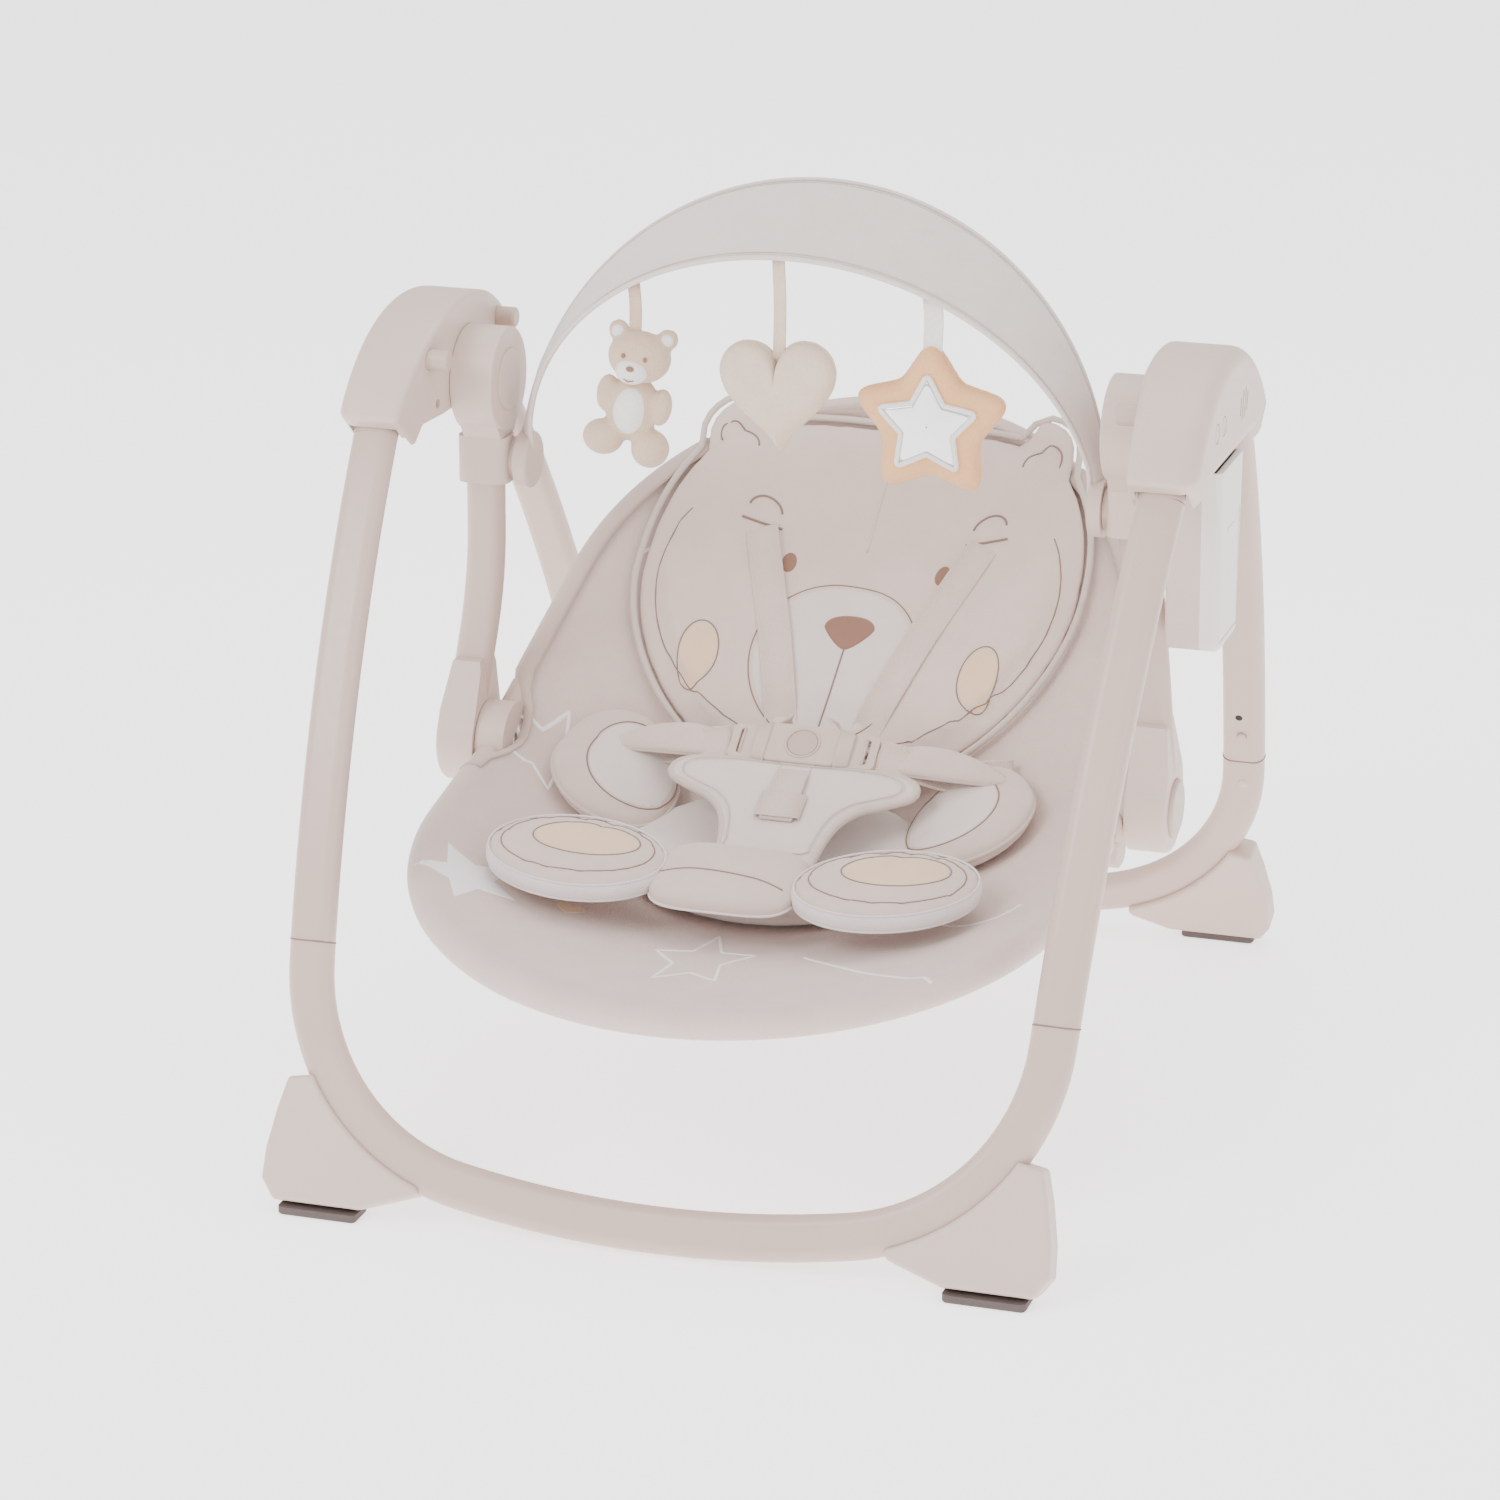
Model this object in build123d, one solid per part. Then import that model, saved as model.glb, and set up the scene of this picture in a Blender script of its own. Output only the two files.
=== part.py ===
from build123d import *
import os
from math import cos, pi, radians, sin, sqrt, tan

# Portable baby swing, millimetres, +Z up.  The origin is on the floor under the middle of the
# stand.  X runs across the swing (+X is the motor side), the baby's feet point to -Y.

# ---- driving dimensions ---------------------------------------------------------------------
PIVOT_Z = 508.0                                   # swing axis along X at y = 0
HUB_IN, HUB_SEAM, HUB_OUT = 256.0, 286.0, 311.0   # |x| of a hub's inner face, seam, outer face
HUB_MIDDLE, HUB_END, HUB_END_IN = 45.0, 130.0, 263.5   # the inner face slants back past |y| 45
HUB_ARC_R, HUB_ARC_Z = 151.0, 417.0               # the hub's arched top is one circle
HUB_FLOOR = 490.0                                 # underside of a hub
WALL = 3.0                                        # moulded shell thickness

TUBE_W, TUBE_T, TUBE_WALL = 32.5, 18.0, 1.5       # flat-oval stand tube
JOINT = (265.7, 295.0, 175.5)                     # |x|, |y|, z where leg and floor tubes meet
LEG_TOP = (285.0, 109.0, 487.5)                   # |x|, |y|, z where the leg enters the hub
LEG_BOW = 15.5                                    # outward bow of the leg from its chord
LEG_PIN = (86.0, 516.0)                           # |y|, z of the leg hinge pin
LEG_PIN_R, PIN_IN, PIN_END = 4.0, 263.0, 307.0    # pin radius, |x| of its two ends
FLOOR_LEAN = 20.4                                 # lean of the floor frame, degrees
BAR_DROP = 168.5                                  # floor bar below the joint, in its plane
BAR_R, BAR_TURN = 790.0, 10.2                     # bowed middle of the floor bar
CORNER_R, SIDE_LEAN = 152.0, 3.3                  # corner bend, lean of the side tubes
SPIGOT, SPIGOT_GAP = 50.0, 0.2                    # swaged end inside the leg tube
JOINT_GAP = 0.8                                   # between a floor tube's full section and the leg
PAD_H, PAD_Y0, PAD_Y1 = 6.0, 346.0, 371.0         # rubber foot pads
PAD_X0, PAD_X1 = 209.0, 267.0
FOOT_T = 25.0                                     # foot shell thickness

PEG_Y, PEG_Z, PEG_R, PEG_TIP = 69.0, 536.0, 7.6, 243.0   # fold-release pegs
FOLD = 25.0                                       # how far each leg frame folds inward, degrees
POST_Y, POST_Z = 58.0, 501.0                      # screw posts inside a hub
SNAP_R, SNAP_UP = 3.5, 26.0                       # snap button in each tube joint

HEAD_R, HEAD_IN = 38.0, 224.0                     # swing arm head
CAP_R = 22.7                                      # round cap on the head's inner face
SHAFT_R, SHAFT_END = 6.0, 302.0                   # pivot shaft
BUSH_R, BUSH_X0, BUSH_X1 = 9.0, 294.0, 299.0      # outer pivot bush
ARM_W, ARM_T, ARM_WALL = 29.0, 16.5, 1.5          # swing arm tube
ARM_X, ARM_LOW_X = 243.0, 262.0                   # |x| of the arm tube's top and bottom
SEAT_Y, SEAT_Z = 2.0, 231.0                       # seat recline axis
HOUSE_IN, HOUSE_OUT, HOUSE_R = 246.6, 276.0, 33.0 # recline housing on each arm
HOUSE_CREASE = 256.0                              # the housing narrows above this height
BUTTON_R, BUTTON_DEPTH, BUTTON_OUT = 21.0, 13.5, 279.5
BLOCK_IN, BLOCK_OUT, BLOCK_R = 224.0, 246.0, 29.0 # seat-side hinge block
SEAT_PIN_R = 6.0
COLLAR_Z0, COLLAR_Z1 = 431.0, 465.5               # toy bar collar round the arm

LOOP_X, ROD_R = 236.0, 7.0                        # seat loops: |x| at the hinge, rod radius
LOOP_START = 24.0                                 # where a loop leaves the hinge axis
FRONT_SLOPE, FRONT_R, FRONT_REACH = -10.0, 236.0, 358.0
BACK_SLOPE, BACK_R, BACK_REACH, BACK_FLARE = 37.0, 215.5, 337.0, 10.0
COVER_T = 5.0
EDGE_GAP = ROD_R + 1.0                            # from a loop's centre line to the cloth solid's edge
# seat centre line in side view: distance along Y and height of the cover's upper face
COVER_Y = (-341, -320, -270, -200, -120, -40, 20, 70, 130, 190, 240, 262)
COVER_Z = (174, 172, 167, 161, 158, 161, 195, 238, 288, 328, 378, 406)
HEAD_PAD_T, INSERT_T = 20.0, 32.0                 # thickness of the head pad and the seat insert

TOY_Y, TOY_Z = 10.0, 446.0                        # toy bar tilt axis
BAND_FRONT = (211.0, 190.0, 20.0)                 # half span, rise, forward lean, front edge
BAND_REAR = (218.0, 216.0, -10.0)                 # the same for the rear edge
BAND_T = 4.0
TOY_X = (-115.0, -5.0, 104.0)                     # bear, heart, star

BOX_IN, BOX_SEAM, BOX_OUT = 272.0, 297.0, 311.0   # power box under the right hub
BOX_Y, BOX_Z0 = 36.0, 358.0
CELL_R, CELL_L = 13.0, 50.0                       # size C cells
DOOR_Z0, DOOR_Z1, DOOR_Y = 366.0, 452.0, 27.0

GEAR_TEETH, PINION_TEETH, MODULE = 40, 12, 1.0    # swing drive
GEAR_X0, GEAR_X1 = 286.5, 292.5
SPEAKER_R, SPEAKER_YZ = 14.3, (30.0, 524.0)
KEY_Y, KEY_Z, KEY_R = (-56.0, -34.0), 524.0, 7.0  # control buttons on the right hub


# ---- helpers --------------------------------------------------------------------------------
def save(name, *shapes):
    """Writes one node; several shapes stay separate solids."""
    shape = shapes[0] if len(shapes) == 1 else Compound(list(shapes))
    shape.label = name
    export_step(shape, f"parts/{name}.step")


def other_side(shape):
    """The mirror image across the middle plane of the swing."""
    return mirror(shape, about=Plane.YZ)


def other_end(shape):
    """The mirror image front to back."""
    return mirror(shape, about=Plane.XZ)


def pair(name, shape):
    """Writes a right-hand piece and its left-hand twin as one node."""
    save(name, shape, other_side(shape))


def rod(radius, x0, x1, y, z):
    """A cylinder along X."""
    return Pos((x0 + x1) / 2, y, z) * Rot(0, 90, 0) * Cylinder(radius, abs(x1 - x0))


def side_plate(face, x0, x1):
    """Extrudes a sketch drawn as (y, z) from x0 to x1."""
    plane = Plane(origin=(x0, 0, 0), x_dir=(0, 1, 0), z_dir=(1, 0, 0))
    return extrude(plane * face, amount=x1 - x0)


def soften(shape, edges, radius):
    """Fillets the edges, with a smaller radius where the full one does not fit."""
    for share in (1.0, 0.7, 0.45, 0.25):
        try:
            return fillet(edges, radius * share)
        except Exception:
            continue
    print("not softened", radius)
    return shape


def rim(shape, x):
    """Edges of a shape that lie in the plane at x."""
    return shape.edges().filter_by_position(Axis.X, x - 0.01, x + 0.01)


def flat_oval(width, height, wall=0.0):
    """Flat-oval tube section, solid when wall is 0."""
    outer = SlotOverall(width, height)
    if wall:
        return outer - SlotOverall(width - 2 * wall, height - 2 * wall)
    return outer


def square_to(path, at=0.0):
    """Plane square across a path, its x along the swing's X."""
    return Plane(origin=path @ at, x_dir=(1, 0, 0), z_dir=path % at)


def polygon(*points):
    return make_face(Polyline(*points, close=True))


# ---- stand ----------------------------------------------------------------------------------
def floor_plane():
    """Leaning plane of the front floor frame; its local y runs up the legs."""
    lean = radians(FLOOR_LEAN)
    normal = (0, -cos(lean), sin(lean))
    return Plane(origin=(0, -JOINT[1], JOINT[2]), x_dir=(1, 0, 0), z_dir=normal)


def floor_path():
    """Right half of the floor frame's centre line, from the middle of the bar to the joint."""
    bar = JernArc((0, -BAR_DROP), (1, 0), BAR_R, BAR_TURN)
    corner = JernArc(bar @ 1, bar % 1, CORNER_R, 90 - SIDE_LEAN - BAR_TURN)
    end = corner @ 1
    side = Line(end, (end.X - tan(radians(SIDE_LEAN)) * (end.Y + JOINT_GAP), -JOINT_GAP))
    return floor_plane() * (bar + corner + side)


def corner_centre():
    """Centre of the corner bend in the floor plane."""
    turn = radians(BAR_TURN)
    x = (BAR_R - CORNER_R) * sin(turn)
    y = -BAR_DROP + BAR_R * (1 - cos(turn)) + CORNER_R * cos(turn)
    return (x, y)


def leg_path():
    """Bowed centre line of the right front leg, from the tube joint up to the hub."""
    low = Vector(JOINT[0], -JOINT[1], JOINT[2])
    top = Vector(LEG_TOP[0], -LEG_TOP[1], LEG_TOP[2])
    out = (low - top).cross(Vector(1, 0, 0)).normalized()
    bow = (low + top) * 0.5 + out * (LEG_BOW if out.Y < 0 else -LEG_BOW)
    return ThreePointArc(low, bow, top)


def leg_head():
    """Top of the leg inside the hub: a straight run that ends round about the hinge pin."""
    arc = leg_path()
    across = Vector(LEG_TOP[0], -LEG_PIN[0], LEG_PIN[1])
    run = Line(arc @ 1, across)
    body = sweep(square_to(run) * flat_oval(TUBE_W, TUBE_T), path=run)
    end = rod(TUBE_T / 2, LEG_TOP[0] - 10, LEG_TOP[0] + 10, -LEG_PIN[0], LEG_PIN[1])
    return body + end


def snap_plane():
    """On the leg's centre line at the snap button, facing the middle of the swing."""
    arc = leg_path()
    share = SNAP_UP / arc.length
    inward = (arc % share).cross(Vector(1, 0, 0)).normalized()
    inward = inward if inward.Y > 0 else inward * -1
    return Plane(origin=arc @ share, x_dir=(1, 0, 0), z_dir=inward)


def snap_hole():
    return snap_plane() * Pos(0, 0, 8) * Cylinder(SNAP_R + 0.25, 14)


def snap_button():
    """Domed spring button whose flange stays inside the spigot."""
    up = (Align.CENTER, Align.CENTER, Align.MIN)
    head = Cylinder(SNAP_R, 8.6, align=up)
    head = fillet(head.edges().sort_by(Axis.Z)[-1], 1.6)
    return snap_plane() * Pos(0, 0, 2.8) * (head + Cylinder(4.6, 1.2, align=up))


def front_leg():
    arc = leg_path()
    tube = sweep(square_to(arc) * flat_oval(TUBE_W, TUBE_T, TUBE_WALL), path=arc)
    return tube + leg_head() - rod(LEG_PIN_R + 0.05, HUB_IN, HUB_OUT, -LEG_PIN[0], LEG_PIN[1]) - snap_hole()


def floor_solid():
    """The floor frame's right half as a solid bar, used to cut channels too."""
    path = floor_path()
    start = Plane(origin=path @ 0, x_dir=floor_plane().y_dir, z_dir=path % 0)
    return sweep(start * flat_oval(TUBE_W, TUBE_T), path=path)


def floor_tube():
    """One U-shaped tube whose two ends are swaged to slide into the legs."""
    path = floor_path()
    start = Plane(origin=path @ 0, x_dir=floor_plane().y_dir, z_dir=path % 0)
    side = sweep(start * flat_oval(TUBE_W, TUBE_T, TUBE_WALL), path=path)
    arc = leg_path()
    bore = 2 * (TUBE_WALL + SPIGOT_GAP)
    neck = flat_oval(TUBE_W - bore, TUBE_T - bore, TUBE_WALL)
    up = arc.trim(0, SPIGOT / arc.length)
    spigot = sweep(square_to(up) * neck, path=up)
    hollow = SlotOverall(TUBE_W - bore - 2 * TUBE_WALL, TUBE_T - bore - 2 * TUBE_WALL)
    shoulder = square_to(up).offset(-0.1) * (flat_oval(TUBE_W - 0.4, TUBE_T - 0.4) - hollow)
    side = side + extrude(shoulder, amount=-3) + (spigot - snap_hole())
    return side + other_side(side)


def foot_shell():
    """Clamshell foot: rounded heel outside, sloping toe inside, a channel for the tube."""
    floor_v = -JOINT[2] / cos(radians(FLOOR_LEAN))
    sole = floor_v + PAD_H / cos(radians(FLOOR_LEAN))
    outline = polygon((246, -91), (269, -95), (275, -118), (280, -145), (281, sole + 14), (271, sole),
                      (208, sole), (170, sole + 13), (161, sole + 22), (161, -120), (220, -91))
    outline -= Pos(*corner_centre()) * Circle(CORNER_R + 11)
    outline = outline.faces().sort_by(Axis.X)[-1]
    outer = [v for v in outline.vertices() if v.X > 268 or v.Y < sole + 20]
    outline = fillet(outer, 4)
    body = extrude(floor_plane() * outline, amount=FOOT_T / 2, both=True)
    flat = [f for f in body.faces() if abs(f.normal_at().dot(floor_plane().z_dir)) > 0.99]
    body = soften(body, [e for f in flat for e in f.edges()], 3.2)
    below = Pos((PAD_X0 + PAD_X1) / 2, -(PAD_Y0 + PAD_Y1) / 2, PAD_H / 2 - 10) * Box(200, 120, PAD_H + 20)
    return body - floor_solid() - below


def foot_pad():
    """Rubber sole with a chamfered lower edge."""
    pad = Pos((PAD_X0 + PAD_X1) / 2, -(PAD_Y0 + PAD_Y1) / 2, PAD_H / 2) * Box(
        PAD_X1 - PAD_X0, PAD_Y1 - PAD_Y0, PAD_H)
    pad = fillet(pad.edges().filter_by(Axis.Z), 4)
    return chamfer(pad.faces().sort_by(Axis.Z)[0].edges(), 1.2)


# ---- hubs -----------------------------------------------------------------------------------
def hub_outline(inset=0.0):
    """Side view of a hub: one arch on top, an exit face for each leg, a flat underside."""
    r = HUB_ARC_R - inset
    ends = 124.0 - inset * 1.2
    rise = HUB_ARC_Z + sqrt(r * r - ends * ends)
    floor = HUB_FLOOR + inset
    lip_y, lip_z = 94.0 + inset * 0.3, 478.0 - (1.0 if inset else 0.0)
    arch = ThreePointArc((-ends, rise), (0, HUB_ARC_Z + r), (ends, rise))
    lower = Polyline((ends, rise), (lip_y, lip_z), (80 - inset, floor), (-80 + inset, floor), (-lip_y, lip_z),
                     (-ends, rise))
    outline = make_face(arch + lower)
    return outline if inset else fillet(outline.vertices().filter_by(lambda v: abs(v.X) > 70), 4.0)


def leg_sweep_gap():
    """Room under a hub for the front leg, from its open stop to its folded place."""
    pin = Vector(-LEG_PIN[0], LEG_PIN[1])
    down = (Vector(-LEG_TOP[1], LEG_TOP[2]) - pin).normalized()
    folded = down.rotate(Axis.Z, FOLD + 2)
    side = TUBE_T / 2 + 0.6
    out, back = Vector(down.Y, -down.X) * side, Vector(-folded.Y, folded.X) * side
    corners = [pin + out, pin + out + down * 60, pin + back + folded * 60, pin + back]
    return polygon(*[(c.X, c.Y) for c in corners]) + Pos(pin.X, pin.Y) * Circle(side)


def hub_plan(inset=0.0):
    """Top view of a hub as a tall block: the inner face is thickest beside the pivot."""
    inner, slanted = HUB_IN + inset, HUB_END_IN + inset
    half = [(HUB_OUT + 1, HUB_END), (slanted, HUB_END), (inner, HUB_MIDDLE)]
    face = polygon(*half, *[(x, -y) for x, y in reversed(half)])
    return extrude(Pos(0, 0, HUB_FLOOR - 30) * face, amount=120)


def hub_cavity(x0, x1):
    cavity = side_plate(hub_outline(WALL), x0, x1) & hub_plan(WALL)
    gap = side_plate(leg_sweep_gap(), max(x0, 267.2), min(x1, 303.0))
    return cavity + gap + other_end(gap)


def inner_rim(shell):
    """Edges round a hub's three-part inner face, without the two creases that cross it."""
    edges = shell.edges().filter_by(lambda e: e.center().X < HUB_END_IN + 1)
    return [e for e in edges if abs(abs(e.center().Y) - HUB_MIDDLE) > 0.5 or e.length < 1]


def hub_inner():
    shell = side_plate(hub_outline(), HUB_IN, HUB_SEAM) & hub_plan()
    shell = soften(shell, inner_rim(shell), 4.0)
    shell -= hub_cavity(HUB_IN + WALL, HUB_SEAM + 1)
    for end in (-1, 1):
        shell += rod(8, PIN_IN - 1.5, 267.6, end * LEG_PIN[0], LEG_PIN[1])
        shell -= rod(LEG_PIN_R, PIN_IN, HUB_SEAM, end * LEG_PIN[0], LEG_PIN[1])
        shell -= rod(PEG_R + 0.25, HUB_IN - 1, HUB_SEAM, end * PEG_Y, PEG_Z)
        shell += rod(5.5, HUB_IN + 3.5, HUB_SEAM, end * POST_Y, POST_Z)
        shell -= rod(3.5, HUB_IN - 1, HUB_IN + 6.5, end * POST_Y, POST_Z)
        shell -= rod(1.6, HUB_IN + 5, HUB_SEAM + 1, end * POST_Y, POST_Z)
    shell += rod(BUSH_R + 4, HUB_IN + 2, HUB_IN + 8, 0, PIVOT_Z)
    return shell - rod(BUSH_R, HUB_IN - 1, HUB_IN + 9, 0, PIVOT_Z)


def hub_outer():
    shell = side_plate(hub_outline(), HUB_SEAM, HUB_OUT)
    shell = soften(shell, rim(shell, HUB_OUT), 13.0)
    shell -= hub_cavity(HUB_SEAM - 1, HUB_OUT - 7)
    for end in (-1, 1):
        shell += rod(8, 302.6, HUB_OUT - 6, end * LEG_PIN[0], LEG_PIN[1])
        shell -= rod(LEG_PIN_R, HUB_SEAM, PIN_END, end * LEG_PIN[0], LEG_PIN[1])
        shell += rod(5.5, HUB_SEAM, HUB_OUT - 6, end * POST_Y, POST_Z)
        shell -= rod(1.6, HUB_SEAM - 1, HUB_SEAM + 14, end * POST_Y, POST_Z)
    shell += rod(BUSH_R + 4, BUSH_X0, HUB_OUT - 6, 0, PIVOT_Z)
    shell -= rod(BUSH_R, BUSH_X0 - 1, BUSH_X1, 0, PIVOT_Z)
    return shell - rod(SHAFT_R + 1, BUSH_X1 - 1, SHAFT_END, 0, PIVOT_Z)


def speaker_slots():
    """Wavy sound slots behind the outer face of the right hub."""
    slots = []
    for k in range(4):
        y = SPEAKER_YZ[0] - 10.5 + 7 * k
        half = 11 if k in (1, 2) else 7
        slots.append(Pos(y, SPEAKER_YZ[1]) * Rot(0, 0, 78) * SlotOverall(2 * half, 2.6))
    return [side_plate(s, HUB_OUT - 9, HUB_OUT + 1) for s in slots]


def right_hub_outer():
    """The motor side also carries the speaker grille and the control buttons."""
    shell = hub_outer()
    for slot in speaker_slots():
        shell -= slot
    for y in KEY_Y:
        shell -= rod(KEY_R + 0.3, HUB_OUT - 12, HUB_OUT + 1, y, KEY_Z)
    return shell


def hub_screw(y):
    """Assembly screw sunk in the inner face, holding the two shells together."""
    x = HUB_IN + 4.5
    return rod(3.4, x, x + 2, y, POST_Z) + rod(1.6, x + 2, HUB_SEAM + 12, y, POST_Z)


def fold_peg(y):
    """Release peg: domed tip outside the hub's inner face, flange inside it."""
    peg = rod(PEG_R, PEG_TIP, 268, y, PEG_Z)
    peg = soften(peg, rim(peg, PEG_TIP), 2.2)
    return peg + rod(PEG_R + 1.7, PIN_IN, PIN_IN + 5, y, PEG_Z)


def pivot_bush(x0, x1):
    return rod(BUSH_R, x0, x1, 0, PIVOT_Z) - rod(SHAFT_R + 0.05, x0 - 1, x1 + 1, 0, PIVOT_Z)


# ---- swing drive ----------------------------------------------------------------------------
def tooth(r_root, r_tip, pitch_r, teeth):
    """One straight-sided tooth pointing along +x, slightly thin for backlash."""
    half = pi * pitch_r / teeth / 2 * 0.86
    slope = tan(radians(20))
    root, tip = half + (pitch_r - r_root) * slope, half - (r_tip - pitch_r) * slope
    return polygon((r_root - 0.5, -root), (r_tip, -tip), (r_tip, tip), (r_root - 0.5, root))


def gear_face(teeth, first, last, offset):
    """Gear outline with the teeth numbered first to last."""
    pitch_r = MODULE * teeth / 2
    root_r, tip_r = pitch_r - 1.15 * MODULE, pitch_r + 0.8 * MODULE
    face = Sketch() + Circle(root_r)
    for k in range(first, last + 1):
        face += Rot(0, 0, (k + offset) * 360 / teeth) * tooth(root_r, tip_r, pitch_r, teeth)
    return face


def centre_distance():
    return MODULE * (GEAR_TEETH + PINION_TEETH) / 2 + 0.15


def drive_gear():
    """Toothed quadrant keyed to the motor-side shaft, facing the pinion behind the axis."""
    face = gear_face(GEAR_TEETH, -3, 3, 0.0)
    face -= Circle(SHAFT_R)
    keep = polygon((-9, -9), (0, -9), (30, -14), (30, 14), (0, 9), (-9, 9))
    return side_plate(Pos(0, PIVOT_Z) * (face & keep), GEAR_X0, GEAR_X1)


def motor_pinion():
    face = gear_face(PINION_TEETH, 0, PINION_TEETH - 1, 0.5) - Circle(1.5)
    return side_plate(Pos(centre_distance(), PIVOT_Z) * Rot(0, 0, 180) * face, GEAR_X0, GEAR_X1)


def drive_motor():
    """Small can motor with its shaft through the pinion."""
    y = centre_distance()
    can = rod(12, HUB_IN + WALL, 284, y, PIVOT_Z)
    return can + rod(4, 284, 285.5, y, PIVOT_Z) + rod(1.45, 285, GEAR_X1 + 1, y, PIVOT_Z)


# ---- power box ------------------------------------------------------------------------------
def box_outline(inset=0.0):
    """The box seen along X; it tapers downward and has rounded lower corners."""
    top, low = BOX_Y - inset, BOX_Y - 6 - inset
    face = polygon((-top, HUB_FLOOR), (-low, BOX_Z0 + inset), (low, BOX_Z0 + inset), (top, HUB_FLOOR))
    return fillet(face.vertices().group_by(Axis.Y)[0], 9 - inset)


def power_box_inner():
    shell = side_plate(box_outline(), BOX_IN, BOX_SEAM)
    shell = soften(shell, [e for e in rim(shell, BOX_IN) if e.center().Z < HUB_FLOOR - 1], 3.0)
    return shell - side_plate(box_outline(2.2), BOX_IN + 2.2, BOX_SEAM + 1)


def power_box_outer():
    shell = side_plate(box_outline(), BOX_SEAM, BOX_OUT)
    shell = soften(shell, [e for e in rim(shell, BOX_OUT) if e.center().Z < HUB_FLOOR - 1], 5.0)
    shell -= side_plate(box_outline(2.2), BOX_SEAM - 1, BOX_OUT - 4.6)
    shell -= Pos(BOX_OUT - 3, 0, (DOOR_Z0 + DOOR_Z1) / 2) * Box(12, 2 * DOOR_Y + 0.8, DOOR_Z1 - DOOR_Z0 + 0.8)
    return shell


def battery_door():
    """Flush door with a finger ridge; it hinges along its lower edge."""
    door = Pos(BOX_OUT - 1.6, 0, (DOOR_Z0 + DOOR_Z1) / 2) * Box(2.4, 2 * DOOR_Y, DOOR_Z1 - DOOR_Z0)
    ridge = Pos(BOX_OUT - 0.6, 0, DOOR_Z1 - 9) * Box(1.2, 20, 2.4)
    return door + ridge


def battery_cells():
    """Four round cells, two columns of two."""
    cell = Cylinder(CELL_R - 0.3, CELL_L - 2.4) + Pos(0, 0, CELL_L / 2 - 0.9) * Cylinder(3, 0.9)
    x = (BOX_IN + BOX_OUT) / 2 - 1.5
    places = [(column, row) for column in (-1, 1) for row in (0, 1)]
    return [Pos(x, c * (CELL_R + 0.3), BOX_Z0 + 3 + CELL_L * (r + 0.5)) * cell for c, r in places]


def control_board():
    board = Pos(277.5, 0, 474) * Box(1.6, 52, 22)
    for y, z, w, h in ((-12, 474, 12, 9), (8, 477, 7, 7), (18, 470, 5, 9)):
        board += Pos(279.3, y, z) * Box(2.4, w, h)
    return board


def speaker():
    return rod(SPEAKER_R, HUB_OUT - 11.5, HUB_OUT - 7.5, *SPEAKER_YZ)


def control_key(y):
    key = rod(KEY_R, HUB_OUT - 8, HUB_OUT, y, KEY_Z)
    key = soften(key, rim(key, HUB_OUT), 1.2)
    return key + rod(KEY_R + 1.5, HUB_OUT - 9.5, HUB_OUT - 7.4, y, KEY_Z)


# ---- swing arms -----------------------------------------------------------------------------
def arm_path():
    """The arm runs straight down, bows back, then leans out to the recline housing."""
    points = [(ARM_X, 0, 489), (ARM_X, 0, 452), (ARM_X + 7, 17, 352), (ARM_LOW_X, 3, 256)]
    return FilletPolyline(*points, radius=[220, 260])


def arm_solid():
    path = arm_path()
    return sweep(square_to(path) * flat_oval(ARM_W, ARM_T), path=path)


def swing_arm():
    path = arm_path()
    return sweep(square_to(path) * flat_oval(ARM_W, ARM_T, ARM_WALL), path=path)


def arm_head():
    """Drum on the pivot shaft, with a neck that takes the arm tube."""
    drum = rod(HEAD_R, HEAD_IN, HUB_IN - 0.5, 0, PIVOT_Z)
    neck = polygon((-36, 498), (-14, COLLAR_Z1 + 0.3), (14, COLLAR_Z1 + 0.3), (36, 498))
    neck = side_plate(neck, HEAD_IN + 2, HUB_IN - 1.5)
    head = drum + neck
    head = soften(head, rim(head, HEAD_IN), 6.0)
    head -= rod(SHAFT_R, HEAD_IN + 6, HUB_IN + 1, 0, PIVOT_Z)
    head -= rod(CAP_R + 0.15, HEAD_IN - 1, HEAD_IN + 2.5, 0, PIVOT_Z)
    return head - arm_solid()


def head_cap():
    cap = rod(CAP_R, HEAD_IN - 1.2, HEAD_IN + 2.5, 0, PIVOT_Z)
    return soften(cap, rim(cap, HEAD_IN - 1.2), 1.0)


def toy_collar():
    """Clamp round the arm with a round seat for the toy bar socket on its inner side."""
    body = Pos(ARM_X - 0.5, 0, (COLLAR_Z0 + COLLAR_Z1) / 2) * Box(38, 26, COLLAR_Z1 - COLLAR_Z0)
    body = fillet(body.edges().filter_by(Axis.Z), 8)
    seat = rod(16, 219.5, 228, TOY_Y, TOY_Z)
    return (body + seat) - arm_solid() - rod(5, 215, 229, TOY_Y, TOY_Z)


def outer_rim(shell):
    """Edges round a housing's outer faces, without the crease that crosses them."""
    edges = shell.edges().filter_by(lambda e: e.center().X > (HOUSE_IN + HOUSE_OUT) / 2 + 2)
    return [e for e in edges if abs(e.center().Z - HOUSE_CREASE) > 0.5 or abs(e.center().Y - SEAT_Y) > 8]


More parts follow.
